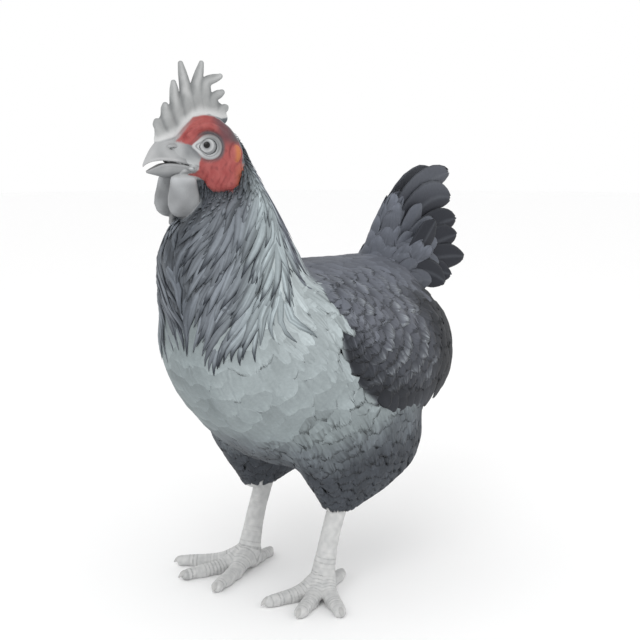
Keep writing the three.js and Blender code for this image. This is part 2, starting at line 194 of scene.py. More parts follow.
class Field(Surface):
    """A grid's values and slopes anywhere, read between its points."""

    def __init__(self, values, low, step):
        self.low = np.asarray(low, float)
        self.step = step
        slopes = np.gradient(values, step)
        self.data = np.stack([values, *slopes], -1).astype(np.float32)
        self.top = np.array(values.shape) - 1.001

    def at(self, points):
        """Distance and unit slope at points."""
        place = np.clip((points - self.low) / self.step, 0, self.top)
        base = place.astype(int)
        t = (place - base)[..., None]
        total = 0.0
        for corner in range(8):
            bits = ((corner >> 0) & 1, (corner >> 1) & 1, (corner >> 2) & 1)
            weight = 1.0
            for axis, bit in enumerate(bits):
                weight = weight * (t[..., axis, :] if bit else 1.0 - t[..., axis, :])
            total = total + weight * self.data[tuple(base[..., axis] + bit for axis, bit in enumerate(bits))]
        return total[..., 0], unit(total[..., 1:])


def spread(values, passes):
    """Values averaged with their neighbours a number of times."""
    for _ in range(passes):
        for axis in range(3):
            padded = np.concatenate([values.take([0], axis), values, values.take([-1], axis)], axis)
            n = values.shape[axis]
            parts = [padded.take(range(k, k + n), axis) for k in range(3)]
            values = (parts[0] + 2.0 * parts[1] + parts[2]) * 0.25
    return values


def curve_points(points, count):
    """Points evenly spread by number along a smooth curve through a few."""
    points = np.asarray(points, float)
    if len(points) == 2:
        t = np.linspace(0, 1, count)[:, None]
        return points[0] * (1 - t) + points[1] * t
    padded = np.vstack([2 * points[0] - points[1], points, 2 * points[-1] - points[-2]])
    places = np.linspace(0, len(points) - 1, count)
    base = np.minimum(places.astype(int), len(points) - 2)
    t = (places - base)[:, None]
    a, b, c, d = (padded[base + k] for k in range(4))
    return 0.5 * (2 * b + (c - a) * t + (2 * a - 5 * b + 4 * c - d) * t**2 + (3 * b - a - 3 * c + d) * t**3)


def add_ball(grid, centre, radii, blend=0.0, carve=False):
    """An ellipsoid along the grid's axes."""
    centre, radii = np.array(centre, float), np.array(radii, float) * np.ones(3)
    slices, axes = grid.window(centre - radii - MARGIN, centre + radii + MARGIN)
    near = sum(((axis - c) / r) ** 2 for axis, c, r in zip(axes, centre, radii))
    steep = sum(((axis - c) / r**2) ** 2 for axis, c, r in zip(axes, centre, radii))
    near = np.sqrt(near)
    distance = near * (near - 1.0) / np.sqrt(np.maximum(steep, 1e-9))
    (grid.carve if carve else grid.join)(slices, distance, blend)


def add_chain(grid, points, radii, samples=12, blend=0.0, flat=(1.0, 1.0, 1.0), relief=None):
    """A round rod along a smooth curve. `flat` squashes it along an axis, and `relief` adds to its radius."""
    line = curve_points(points, samples)
    radius = np.interp(np.linspace(0, 1, samples), np.linspace(0, 1, len(radii)), radii)
    reach = radius.max() + MARGIN
    slices, _ = grid.window(line.min(0) - reach, line.max(0) + reach)
    own = grid.part(slices)
    squash = 1.0 / np.array(flat)
    run = 0.0
    for k in range(samples - 1):
        start, step = line[k], line[k + 1] - line[k]
        pad = max(radius[k], radius[k + 1]) + MARGIN
        part, near = own.window(np.minimum(start, line[k + 1]) - pad, np.maximum(start, line[k + 1]) + pad)
        gaps = [near[i] - start[i] for i in range(3)]
        along = sum(gaps[i] * step[i] for i in range(3)) / max(step @ step, 1e-9)
        along = np.clip(along, 0.0, 1.0)
        off = [(gaps[i] - along * step[i]) * squash[i] for i in range(3)]
        length = float(np.linalg.norm(step))
        wide = mix(radius[k], radius[k + 1], along)
        if relief:
            wide = wide + relief(run + along * length, off)
        distance = np.sqrt(sum(o * o for o in off)) - wide
        own.d[part] = np.minimum(own.d[part], distance)
        run += length
    grid.join(slices, own.d, blend)


# ---------------------------------------------------------------- meshes
def new_object(name, points, faces):
    """A smooth mesh object in the row's frame from points in the bird's frame."""
    mesh = bpy.data.meshes.new(name)
    points = to_row(points)
    faces = np.asarray(faces)
    mesh.vertices.add(len(points))
    mesh.vertices.foreach_set("co", points.astype(np.float32).ravel())
    corners = faces.shape[1]
    mesh.loops.add(faces.size)
    mesh.loops.foreach_set("vertex_index", faces.astype(np.int32).ravel())
    mesh.polygons.add(len(faces))
    mesh.polygons.foreach_set("loop_start", np.arange(0, faces.size, corners, dtype=np.int32))
    mesh.update(calc_edges=True)
    mesh.polygons.foreach_set("use_smooth", np.ones(len(faces), bool))
    mesh.validate()
    piece = bpy.data.objects.new(name, mesh)
    bpy.context.scene.collection.objects.link(piece)
    return piece


def outward(points, faces):
    """The faces turned so that a closed surface's normals point out."""
    a, b, c = (points[faces[:, k]] for k in (0, 1, 2))
    volume = np.einsum("ij,ij->i", a, np.cross(b, c)).sum()
    return faces if volume > 0 else faces[:, ::-1]


def paint(piece, name, colours):
    """A colour for each vertex, given as plain sRGB."""
    layer = piece.data.color_attributes.new(name, "FLOAT_COLOR", "POINT")
    linear = np.where(colours <= 0.04045, colours / 12.92, ((np.maximum(colours, 0) + 0.055) / 1.055) ** 2.4)
    full = np.concatenate([linear, np.ones((len(linear), 1))], 1)
    layer.data.foreach_set("color", full.astype(np.float32).ravel())


def rgb(code):
    """A colour from its six-digit code."""
    return np.array([int(code[k : k + 2], 16) for k in (0, 2, 4)]) / 255.0


def vertices_of(mesh):
    """A mesh's points in the bird's frame."""
    places = np.empty(len(mesh.vertices) * 3, np.float32)
    mesh.vertices.foreach_get("co", places)
    return places.reshape(-1, 3) * MM + SHIFT


def unite(piece, other):
    """Joins another closed mesh into a piece, and removes it."""
    modifier = piece.modifiers.new("unite", "BOOLEAN")
    modifier.operation = "UNION"
    modifier.solver = "MANIFOLD"
    modifier.object = other
    graph = bpy.context.evaluated_depsgraph_get()
    mesh = bpy.data.meshes.new_from_object(piece.evaluated_get(graph))
    piece.modifiers.clear()
    old = piece.data
    piece.data = mesh
    bpy.data.meshes.remove(old)
    bpy.data.objects.remove(other)


# ---------------------------------------------------------------- camera, floor and light
CAMERA_AT = (650.6, -643.0, 393.9)
LOOK_AT = (36.0, 16.0, 235.0)
LENS = 61.76
SENSOR = 36.0
NEAREST = 0.01  # metres; nothing nearer the camera is drawn
LIGHT_AIM = (0, 0, 0.25)  # lights and floor are in metres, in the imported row's frame
LIGHTS = (  # name, place, width, power
    ("key", (0.6, -1.3, 1.5), 1.2, 7),
    ("fill", (1.6, -0.1, 0.9), 1.4, 1.5),
)
FLOOR_COLOUR, FLOOR_ROUGH, FLOOR_RADIUS = (0.98, 0.98, 0.98), 0.9, 6.0


def add_camera():
    """The camera, where the photo was taken from."""
    data = bpy.data.cameras.new("camera")
    data.lens = LENS
    data.sensor_width = SENSOR
    data.clip_start = NEAREST
    camera = bpy.data.objects.new("camera", data)
    camera.location = to_row(CAMERA_AT)
    aim = Vector(to_row(LOOK_AT)) - camera.location
    camera.rotation_euler = aim.to_track_quat("-Z", "Y").to_euler()
    bpy.context.scene.collection.objects.link(camera)
    bpy.context.scene.camera = camera


def add_area(name, at, size, power):
    """A round soft light."""
    data = bpy.data.lights.new(name, "AREA")
    data.shape = "DISK"
    data.size = size
    data.energy = power
    light = bpy.data.objects.new(name, data)
    light.location = at
    light.rotation_euler = (Vector(LIGHT_AIM) - Vector(at)).to_track_quat("-Z", "Y").to_euler()
    bpy.context.scene.collection.objects.link(light)


def add_light():
    """A white studio with two soft lights."""
    world = bpy.data.worlds.new("studio")
    world.use_nodes = True
    background = world.node_tree.nodes["Background"]
    background.inputs["Color"].default_value = (1.0, 1.0, 1.0, 1.0)
    background.inputs["Strength"].default_value = 1.0
    bpy.context.scene.world = world
    for light in LIGHTS:
        add_area(*light)
    bpy.context.scene.view_settings.view_transform = "Standard"


def add_floor():
    """A plain pale floor."""
    bpy.ops.mesh.primitive_circle_add(vertices=96, radius=FLOOR_RADIUS, fill_type="NGON", location=(0, 0, 0))
    floor = bpy.context.object
    floor.name = "floor"
    matt = {"Base Color": (*FLOOR_COLOUR, 1.0), "Roughness": FLOOR_ROUGH}
    floor.data.materials.append(new_material("floor", matt)[0])


# ---------------------------------------------------------------- materials
def new_material(name, settings):
    """A material with its nodes and shader, and plain numbers on the shader's sockets."""
    material = bpy.data.materials.new(name)
    material.use_nodes = True
    shader = material.node_tree.nodes["Principled BSDF"]
    for key, value in settings.items():
        shader.inputs[key].default_value = value
    return material, material.node_tree, shader


def node(tree, kind, inputs=None, **settings):
    """A shader node with its settings, and numbers or links for its inputs."""
    made = tree.nodes.new(kind)
    for key, value in settings.items():
        setattr(made, key, value)
    for key, value in (inputs or {}).items():
        if isinstance(value, bpy.types.NodeSocket):
            tree.links.new(value, made.inputs[key])
        else:
            made.inputs[key].default_value = value
    return made


def noise(tree, place, scale, detail):
    """Noise between 0 and 1 over a place."""
    inputs = {"Vector": place, "Scale": scale, "Detail": detail}
    return node(tree, "ShaderNodeTexNoise", inputs).outputs["Fac"]


def maths(tree, operation, *values):
    """A sum or the like of numbers and links."""
    return node(tree, "ShaderNodeMath", dict(enumerate(values)), operation=operation).outputs["Value"]


def vertex_colour(tree):
    """The colour painted on a piece."""
    return node(tree, "ShaderNodeVertexColor", layer_name="tint").outputs["Color"]


def tint(tree, shader, colour, uneven, low, high, **limits):
    """A colour made darker and lighter by an unevenness, between two shares of itself."""
    inputs = {"Value": uneven, **limits, "To Min": low, "To Max": high}
    shade = node(tree, "ShaderNodeMapRange", inputs).outputs["Result"]
    tinted = node(tree, "ShaderNodeVectorMath", {0: colour, 1: shade}, operation="MULTIPLY")
    tree.links.new(tinted.outputs["Vector"], shader.inputs["Base Color"])


def mottle(tree, shader, scale, detail, low, high):
    """The painted colour, made uneven by noise. Gives the place that the noise is read at."""
    colour = vertex_colour(tree)
    place = node(tree, "ShaderNodeTexCoord").outputs["Object"]
    tint(tree, shader, colour, noise(tree, place, scale, detail), low, high)
    return place


def emboss(tree, shader, height, strength, distance):
    """A height made into bumps on the surface."""
    bump = node(tree, "ShaderNodeBump", {"Height": height, "Strength": strength, "Distance": distance})
    tree.links.new(bump.outputs["Normal"], shader.inputs["Normal"])


def skin_material():
    """Painted colour, mottled a little, with fine folds and pores."""
    material, tree, shader = new_material("skin", {"Roughness": 0.55, "Specular IOR Level": 0.35})
    place = mottle(tree, shader, scale=260.0, detail=4.0, low=0.92, high=1.07)
    pores = node(tree, "ShaderNodeTexVoronoi", {"Vector": place, "Scale": 900.0}).outputs["Distance"]
    folds = noise(tree, place, 480.0, 3.0)
    emboss(tree, shader, maths(tree, "ADD", pores, folds), strength=0.22, distance=0.0006)
    return material


def horn_material(name, rough):
    """Bill or claw: horn with faint growth lines along it."""
    material, tree, shader = new_material(name, {"Roughness": rough, "Specular IOR Level": 0.4})
    place = mottle(tree, shader, scale=120.0, detail=5.0, low=0.85, high=1.15)
    emboss(tree, shader, noise(tree, place, 700.0, 2.0), strength=0.12, distance=0.0004)
    return material


# ---------------------------------------------------------------- the body's own surface
BODY_STEP = 2.5
BODY_LOW = (-115.0, -135.0, 40.0)
BODY_HIGH = (115.0, 215.0, 425.0)
BODY_REACH = 25.0
CREASE = 11.0  # hollows tighter than this are filled, as plumage fills them
CHEEK_DENT = {"at": (-15.0, 25.0, -31.0), "deep": 11.0, "wide": 17.0}  # lets the cheeks stand out of the neck
FLESH = ("trunk", "rump", "neck", "head", "thigh_l", "thigh_r")
WINGS = ("wing_l", "wing_r", "flight_l", "flight_r")


def node_distance(grid, names):
    """Joins the distance to CAD solids into a grid."""
    for name in names:
        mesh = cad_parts[name].data
        mesh.calc_loop_triangles()
        corners = np.empty(len(mesh.loop_triangles) * 3, np.int32)
        mesh.loop_triangles.foreach_get("vertices", corners)
        grid.d = np.minimum(grid.d, level_set(vertices_of(mesh), corners.reshape(-1, 3), grid))


def level_set(points, faces, grid):
    """Signed distances from a closed mesh, on a grid's points."""
    kind = {"triangles" if faces.shape[1] == 3 else "quads": faces.astype(np.uint32)}
    made = openvdb.FloatGrid.createLevelSetFromPolygons(
        points.astype(np.float32),
        transform=openvdb.createLinearTransform(voxelSize=grid.step),
        halfWidth=BODY_REACH / grid.step,
        **kind,
    )
    values = np.empty(grid.shape, np.float32)
    made.copyToArray(values, ijk=tuple(int(v) for v in grid.first))
    return values


def body_grid(names):
    """One smooth closed surface round some CAD solids, with its creases filled."""
    rough = Grid(BODY_LOW, BODY_HIGH, BODY_STEP)
    node_distance(rough, names)
    points, faces = rough.mesh(CREASE)
    clean = Grid(BODY_LOW, BODY_HIGH, BODY_STEP)
    _, axes = clean.window(BODY_LOW, BODY_HIGH)
    clean.d = spread(level_set(points, outward(points, faces), clean) + CREASE, 4) + cheek_dent(axes)
    points, faces = clean.mesh()
    clean.d = level_set(points, outward(points, faces), clean)
    return clean


def cheek_dent(axes):
    """How much deeper the neck lies beside each cheek."""
    total = 0.0
    for side in SIDES:
        f, l, u = CHEEK_DENT["at"]
        gap = sum((axis - middle) ** 2 for axis, middle in zip(axes, from_head((f, side * l, u))))
        total = total + CHEEK_DENT["deep"] * np.exp(-gap / CHEEK_DENT["wide"] ** 2)
    return total


def coat_depth(points):
    """How far the skin lies under the coat's surface, less on the legs and round the head."""
    x, y, z = points
    depth = mix(1.2, 5.0, smoothstep(70.0, 104.0, z))
    from_skull = np.sqrt((x + 8) ** 2 + (y + 62) ** 2 + (z - 378) ** 2)
    return mix(2.0, depth, smoothstep(45.0, 90.0, from_skull))


# ---------------------------------------------------------------- the head's skin
HEAD_STEP = 0.55
SKULL = (  # f, u, half width, top, low
    (28, -6, 3.4, 6.0, 7.0),
    (23, -6, 7.0, 9.6, 14.0),
    (16, -5, 11.4, 16.0, 21.0),
    (8, -4, 15.2, 22.0, 26.5),
    (-7, -4, 17.2, 25.0, 32.0),
    (-19, -5, 17.0, 20.6, 31.0),
    (-28, -7, 13.2, 12.6, 24.0),
    (-33, -8, 6.0, 6.0, 10.0),
)
COMB_CRESCENT = ((33, 4), (27.5, 15), (15, 27), (2, 30), (-10, 25), (-16, 20))
COMB_WIDE = (6.0, 8.6, 9.6, 9.8, 8.4, 5.4)
COMB_FINGERS = (  # root, bend and tip (f, u), half widths at the root and the tip
    ((29, 3), (34.0, 11), (36.2, 16.8), 6.8, 4.4),
    ((23, 7), (28.4, 21), (29.4, 29.4), 7.4, 3.8),
    ((16, 13), (21.0, 31), (22.4, 46.4), 7.6, 3.5),
    ((9, 18), (12.4, 40), (16.4, 60.8), 8.2, 3.4),
    ((2, 22), (4.0, 42), (-0.4, 61.4), 8.4, 3.3),
    ((-4, 22), (-3.0, 45.0), (-15.6, 51.8), 7.6, 3.4),
    ((-9, 20), (-9.0, 34), (-17.0, 39.6), 7.0, 3.6),
    ((-12, 18), (-16.2, 25.4), (-20.2, 28.2), 6.6, 3.4),
)
COMB_PLATE = 2.3  # the comb plate's half thickness
FINGER_FLAT = 0.5  # a comb finger's thickness as a share of its width
FINGER_SWELL = (0.7, 0.88, 0.8, 0.64, 0.54)  # its half widths from the root on, as shares of the root's
SKULL_BOX = (-36, -23, -50), (32, 23, 34)
WATTLE_TOP, WATTLE_LOW = -22.5, -57.0
WATTLE_HALF = (  # share of the way down, half width
    (0, 0.06, 0.3, 0.5, 0.68, 0.84, 0.95, 1),
    (8.2, 10.2, 11.4, 12.8, 13.0, 10.8, 7.0, 3.6),
)
WATTLES = ((18.6, 7.4, 1.0), (23.4, -7.4, -1.0))  # each one's middle (f, l) and the side it leans to
SMALL_LOBES = (((20, -7, -34), (22, -7.5, -47), (23.5, -8, -61)),)
LOBE_REACH = 3.0  # how thick the small lobes are taken to be round their line
EAR_LOBE, EAR_LOBE_SIZE = (-21.4, 16.8, -7.4), (4.2, 3.6, 6.8)
GAPE = (12.3, 12.4, -18.5)  # the fleshy corner of the mouth
BROW = ((15, 10.5, 7), (6, 13.6, 13), (-4, 14.4, 13.4), (-13, 14.6, 6))
CHEEKS = (  # place, size, blend
    ((-13, 13.2, -21), (12.5, 6.8, 14.0), 4.0),
    ((-9, 12.6, -28), (11.0, 6.2, 10.0), 3.0),
)
FACE_LOBES = (  # the same, laid on after the folds
    (EAR_LOBE, EAR_LOBE_SIZE, 1.2),
    ((-21.5, 15.6, -19), (4.8, 3.2, 6.8), 1.2),
    ((-17, 15.2, -28), (7.4, 4.4, 8.2), 1.6),
)
LID_OPEN = 6.4
LID_COS, LID_SIN = 0.975, 0.22  # the lids' opening faces a little forward


def soft_table(rows, column, at):
    """A table's column read smoothly between its rows."""
    rows = np.array(sorted(rows), float)
    fine = curve_points(np.stack([rows[:, 0], rows[:, column]], 1), 12 * len(rows))
    return np.interp(at, fine[:, 0], fine[:, 1]).astype(np.float32)


def beyond_ends(distance, f, rows):
    """Distances to a shape that ends where its table of sections does."""
    ends = np.array(rows)[:, 0]
    past = np.maximum(f - ends.max(), 0.0) + np.maximum(ends.min() - f, 0.0)
    return np.where(past > 0, np.sqrt(np.maximum(distance, 0) ** 2 + past**2), distance)


def add_skull(grid):
    """The head without its face: one egg-shaped section after another."""
    slices, (f, l, u) = grid.window(*SKULL_BOX)
    middle, half, top, low = (soft_table(SKULL, column, f) for column in (1, 2, 3, 4))
    rise = u - middle
    height = np.where(rise > 0, top, low)
    near = np.sqrt((l / half) ** 2 + (rise / height) ** 2)
    steep = np.sqrt((l / half**2) ** 2 + (rise / height**2) ** 2)
    distance = near * (near - 1.0) / np.maximum(steep, 1e-4)
    grid.join(slices, beyond_ends(distance, f, SKULL).astype(np.float32))


def add_both(adder, grid, points, *rest, **more):
    """Adds a shape on both sides of the head."""
    for side in SIDES:
        adder(grid, np.array(points, float) * (1, side, 1), *rest, **more)


def eye_ring(f, u):
    """Distance from the eye's middle over the face, with a corner drawn out in front."""
    ahead, up = f, u + 2.2
    corner = smoothstep(3.0, 11.0, ahead) * np.exp(-(((up - 0.8) / 3.4) ** 2))
    return np.sqrt(ahead**2 + up**2) - 3.4 * corner


def mouth_line(f):
    """Height of the closed mouth along the bill."""
    return np.interp(f, (6.0, 14.0, 26.0, 36.0), (-18.6, -16.6, -14.0, -13.9)).astype(np.float32)


def face_relief(f, l, u):
    """Folds that stand out of the face."""
    side = smoothstep(6.0, 11.0, np.abs(l))
    ring = eye_ring(f, u)
    folds = 1.1 * ridge(ring, 8.6, 1.25) - 0.8 * ridge(ring, 11.2, 1.1)
    lip = u - mouth_line(f)
    at_mouth = smoothstep(5.0, 9.0, f) * (0.9 * ridge(lip, 2.1, 1.1) + 0.9 * ridge(lip, -2.1, 1.1))
    low_cheek = smoothstep(-10.0, -18.0, u) * smoothstep(4.0, -4.0, f)
    pleat = np.sin(f * 1.55 + u * 0.35 + 1.3 * np.sin(u * 0.45)) * 0.34 * low_cheek
    brow = np.sin(u * 1.5 - f * 0.9) * 0.16 * smoothstep(10.0, 14.0, u) * smoothstep(26.0, 18.0, u)
    return side * (folds + at_mouth + pleat + brow)


def add_face(grid):
    """Brow, cheek, jaw, lobes and folds, symmetrical about the head's middle."""
    add_both(add_chain, grid, BROW, (1.6, 2.2, 2.2, 1.4), blend=4.0)
    for place, size, blend in CHEEKS:
        add_both(add_ball, grid, place, size, blend=blend)
    add_both(add_ball, grid, GAPE, (2.6, 2.2, 2.4), blend=1.2)
    add_both(add_ball, grid, np.array(GAPE) + (0, 2.3, 0), (1.1, 0.6, 1.1), blend=0.6, carve=True)
    slices, (f, l, u) = grid.window(*SKULL_BOX)
    grid.d[slices] -= face_relief(f, l, u)
    for place, size, blend in FACE_LOBES:
        add_both(add_ball, grid, place, size, blend=blend)


def add_lids(grid):
    """A socket round each eye, with a lid that hugs the eyeball and a rounded margin."""
    for side in SIDES:
        centre = np.array(BALL) * (1, side, 1)
        add_ball(grid, centre, BALL_RADIUS + 1.0, blend=1.5)
        slices, (f, l, u) = grid.window(centre - 13, centre + 13)
        out = side * l - BALL[1]
        ahead = (f + 0.8) * LID_COS - out * LID_SIN
        out = out * LID_COS + (f - BALL[0]) * LID_SIN
        up = u + 2.0
        corner = smoothstep(1.0, 7.0, ahead) * np.exp(-(((up + 0.2) / 2.6) ** 2))
        across = np.sqrt(ahead**2 + up**2) - 1.8 * corner
        hole = np.maximum(across - LID_OPEN, 1.0 - out)
        grid.carve(slices, hole.astype(np.float32), 0.5)
        bead = np.sqrt((across - LID_OPEN - 0.7) ** 2 + (out - 4.0) ** 2) - 0.9
        grid.join(slices, bead.astype(np.float32), 1.6)
        add_ball(grid, centre, BALL_RADIUS + 0.03, carve=True)


def add_mouth(grid):
    """The slit between the jaws, as far back as the gape."""
    slices, (f, l, u) = grid.window((4, -16, -26), (34, 16, -8))
    tall = 0.45 + 0.35 * smoothstep(15.0, 26.0, f)
    line = np.abs(u - mouth_line(f)) - tall
    hole = np.maximum(line, 14.5 - f)
    grid.carve(slices, (hole + 0 * l).astype(np.float32), 0.4)


def make_room_for_feathers(grid):
    """Lowers the back of the head, which small feathers cover."""
    slices, (f, _, u) = grid.window((-37, -23, -50), (0, 23, 34))
    away = outline_distance(f + 0 * u, u + 0 * f, FACE_EDGE)
    grid.d[slices] += (3.4 * smoothstep(0.5, 4.5, away) * smoothstep(-4.0, -14.0, f)).astype(np.float32)


def add_comb(grid):
    """A thin plate with fleshy fingers that stand out as ridges down to the comb's base."""
    crescent = [(f, 0.0, u) for f, u in COMB_CRESCENT]
    flat = (1.0, COMB_PLATE / np.mean(COMB_WIDE), 1.0)
    add_chain(grid, crescent, COMB_WIDE, samples=22, blend=2.2, flat=flat)
    for root, bend, tip, wide, end in COMB_FINGERS:
        line = [(f, 0.0, u) for f, u in (root, bend, tip)]
        radii = [wide * share for share in FINGER_SWELL] + [mix(wide * 0.5, end, 0.7), end * 0.66]
        add_chain(grid, line, radii, samples=26, blend=0.9, flat=(1.0, FINGER_FLAT, 1.0))
    skirt = [(f, 0.0, u) for f, u in ((34, 1), (24, 7), (12, 18), (0, 22), (-12, 19.5))]
    add_chain(grid, skirt, (3.4, 4.4, 5.2, 6.0, 4.8), samples=16, blend=3.0)


def comb_ridge(f, u):
    """How near a place on the comb is to the middles of the two nearest fingers: 0 on one, 1 at its edge."""
    gaps = []
    for root, bend, tip, wide, end in COMB_FINGERS:
        best = np.full(f.shape, 9.0)
        line = curve_points([root, bend, tip], 50)
        for (fa, ua), share in zip(line, np.arange(len(line)) / (len(line) - 1)):
            best = np.minimum(best, np.hypot(f - fa, u - ua) / mix(wide * 0.9, end, share))
        gaps.append(best)
    return np.sort(gaps, axis=0)[:2]


def wattle_shape(f, l, u, middle_f, middle_l, lean):
    """A flat drop with a square top, a swollen rim and a slight hollow."""
    t = np.clip((WATTLE_TOP - u) / (WATTLE_TOP - WATTLE_LOW), 0.0, 1.0)
    half = np.interp(t, *WATTLE_HALF).astype(np.float32)
    across = f - (middle_f + 1.2 * t)
    ends = np.maximum(u - WATTLE_TOP, WATTLE_LOW - u)
    outline = -smooth_min(-(np.abs(across) - half), -ends, 5.0)
    inside = np.clip(-outline, 0.0, 11.0)
    thick = 1.3 + 3.1 * np.sqrt(1.0 - (1.0 - inside / 11.0) ** 2)
    bow = middle_l + lean * 2.5 * t + lean * 0.8 * np.sin(math.pi * t)
    return -smooth_min(-outline, -(np.abs(l - bow) - thick), 2.6)


def wattles(f, l, u):
    """Distance to the two wattles."""
    return np.minimum(*(wattle_shape(f, l, u, *place) for place in WATTLES))


def add_wattles(grid):
    """The wattles, the stalks they hang from, and the small lobes between them."""
    slices, (f, l, u) = grid.window((0, -20, -62), (40, 20, -14))
    grid.join(slices, wattles(f, l, u).astype(np.float32), 1.4)
    for middle_f, middle_l, _ in WATTLES:
        stalk = ((middle_f - 2, middle_l * 0.8, -19), (middle_f, middle_l, -26))
        add_chain(grid, stalk, (3.6, 3.6), 4, blend=1.6)
    for line in SMALL_LOBES:
        add_chain(grid, line, (1.8, 2.3, 2.7), samples=10, blend=1.0)


def head_mesh():
    """The whole head's skin, with comb and wattles."""
    grid = Grid((-37, -23.5, -64), (42, 23.5, 67), HEAD_STEP)
    for add in (add_skull, add_face, add_lids, add_mouth, make_room_for_feathers, add_comb, add_wattles):
        add(grid)
    points, faces = grid.mesh()
    points = from_head(points)
    return points, outward(points, faces)


# ---------------------------------------------------------------- bill, eyes, claws
BILL_UPPER = (  # f, half width, top, low
    (10, 11.6, 2.0, -17.4),
    (16, 10.6, 4.0, -15.4),
    (25, 8.5, 4.8, -13.2),
    (35, 6.6, 2.8, -12.4),
    (42, 4.4, -3.8, -13.4),
    (46.0, 2.7, -10.0, -15.2),
    (48.2, 1.1, -14.6, -17.2),
)
BILL_LOWER = (
    (10, 11.2, -17.7, -25.0),
    (16, 10.2, -16.2, -26.0),
    (25, 8.0, -14.7, -26.6),
    (33, 6.2, -14.8, -25.2),
    (40, 4.2, -17.4, -23.4),
    (45.6, 1.6, -20.0, -21.9),
)
BILL_STEP = 0.45
BILL_BOX = (8, -14, -31), (52, 14, 9)
BILL_SHARP = 2.2  # 2 makes the halves' sections round, and more makes them squarer
NOSTRIL = (26.0, 6.6, -3.2)


def loft_shape(rows, f, l, u, upper):
    """Half of a bill: round outside, and flat where the two halves meet."""
    half, top, low = (soft_table(rows, k, f) for k in (1, 2, 3))
    edge, height = (low, top - low) if upper else (top, top - low)
    rise = (u - edge if upper else edge - u) / height
    near = np.abs(l / half) ** BILL_SHARP + np.maximum(rise, 0.0) ** BILL_SHARP
    near = near ** (1.0 / BILL_SHARP)
    return beyond_ends(-smooth_min(-(near - 1.0) * np.minimum(half, height), rise * height, 0.9), f, rows)


def bill_mesh(rows, upper):
    """Half of the bill, with the upper half's nostrils and ridge, and a lip along the edge."""
    grid = Grid(*BILL_BOX, BILL_STEP)
    slices, (f, l, u) = grid.window(*BILL_BOX)
    distance = loft_shape(rows, f, l, u, upper)
    if upper:
        culmen = 0.5 * ridge(l, 0.0, 1.6) * smoothstep(-14.0, -6.0, u)
        distance = distance - culmen * smoothstep(48.0, 40.0, f)
    edge = soft_table(rows, 3 if upper else 2, f) + (1.3 if upper else -1.3)
    distance = distance - 0.5 * ridge(u, edge, 0.9) * smoothstep(46.0, 36.0, f)
    grid.join(slices, distance.astype(np.float32))
    if upper:
        add_both(add_ball, grid, np.array(NOSTRIL) + (0.6, 0.4, 1.7), (4.2, 1.8, 1.6), blend=1.2)
        add_both(add_ball, grid, NOSTRIL, (2.8, 3.2, 0.85), carve=True, blend=0.4)
    points, faces = grid.mesh()
    points = from_head(points)
    return points, outward(points, faces)


def bill_colour(points, rows, upper):
    """Grey horn, paler at the lips and the tip, with painted shade inside the mouth and the nostrils, towards the
    upper half's base and over the lower half, most along its underside.
    """
    f, l, u = to_head(points).T
    edge = soft_table(rows, 3 if upper else 2, f)
    half = soft_table(rows, 1, f)
    above = (u - edge) if upper else (edge - u)
    shaded = 0.7 * smoothstep(26.0, 14.0, f) if upper else 0.35 + 0.4 * smoothstep(-20, -25, u)
    hole = np.sqrt(((f - NOSTRIL[0]) / 2.9) ** 2 + ((u - NOSTRIL[2]) / 1.0) ** 2)
    return layered(
        np.tile(BILL_MID, (len(points), 1)),
        (BILL_PALE, 0.5 + 0.5 * wobble(points, 5.0)),
        (BILL_PALE, smoothstep(3.0, 1.4, above)),
        (BILL_PALE, smoothstep(36.0, 46.0, f)),
        (BILL_SHADE, shaded),
        # painted shade inside the mouth, where the two halves meet
        (MOUTH_SHADOW, smoothstep(0.7, 0.2, above) * smoothstep(0.4, 1.1, half - np.abs(l))),
        (BILL_SHADE * 0.5, smoothstep(1.1, 0.8, hole) * upper),
    )


def sphere_rings(angles, sides):
    """Rings of a unit sphere round +X at angles from it, with the faces between them."""
    turn = np.linspace(0, 2 * math.pi, sides, endpoint=False)
    rings = [
        np.stack([np.full(sides, math.cos(a)), math.sin(a) * np.cos(turn), math.sin(a) * np.sin(turn)], 1)
        for a in angles
    ]
    return np.concatenate(rings), ring_faces(len(angles), sides)


def ring_faces(rings, sides):
    """Faces of four corners between rings of points."""
    faces = []
    for r in range(rings - 1):
        for s in range(sides):
            n = (s + 1) % sides
            faces.append((r * sides + s, (r + 1) * sides + s, (r + 1) * sides + n, r * sides + n))
    return np.array(faces)


EYE_SIDES = 48
CORNEA = 0.045  # how far it stands out, as a share of the eyeball's radius
EYE_COLOURS = (  # angle from the pupil's middle, colour
    (0.0, "060607"),
    (0.30, "060607"),
    (0.345, "7d7f82"),
    (0.50, "a5a7a8"),
    (0.72, "bbbdbe"),
    # a darker band towards the lids' edge: painted shadow of the lids
    (0.84, "8f9193"),
    (3.15, "b4b6b7"),
)


def add_eye(side):
    """An eyeball with its iris and pupil painted on, swollen a little at the cornea."""
    angles = np.concatenate([np.linspace(0.02, 0.80, 40), np.linspace(0.84, math.pi - 0.02, 30)])
    points, faces = sphere_rings(angles, EYE_SIDES)
    angles = np.repeat(angles, EYE_SIDES)
    ahead = np.array(GAZE) * (1, side, 1)
    ahead /= np.linalg.norm(ahead)
    across = np.cross((0, 0, 1.0), ahead)
    across /= np.linalg.norm(across)
    bulge = 1.0 + CORNEA * ridge(angles, 0.0, 0.5)
    radius = BALL_RADIUS * 0.99
    spun = points[:, :1] * ahead + points[:, 1:2] * across + points[:, 2:] * np.cross(ahead, across)
    placed = from_head(np.array(BALL) * (1, side, 1) + spun * (radius * bulge)[:, None])
    eye = new_object(f"eye_ball_{SIDES[side]}", placed, outward(placed, faces))
    stops = [angle for angle, _ in EYE_COLOURS]
    tones = np.array([rgb(code) for _, code in EYE_COLOURS])
    paint(eye, "tint", np.stack([np.interp(angles, stops, tones[:, k]) for k in range(3)], 1))
    eye.data.materials.append(eye_material())
    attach(eye, "root")
    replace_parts(eye, f"eye_{SIDES[side]}")


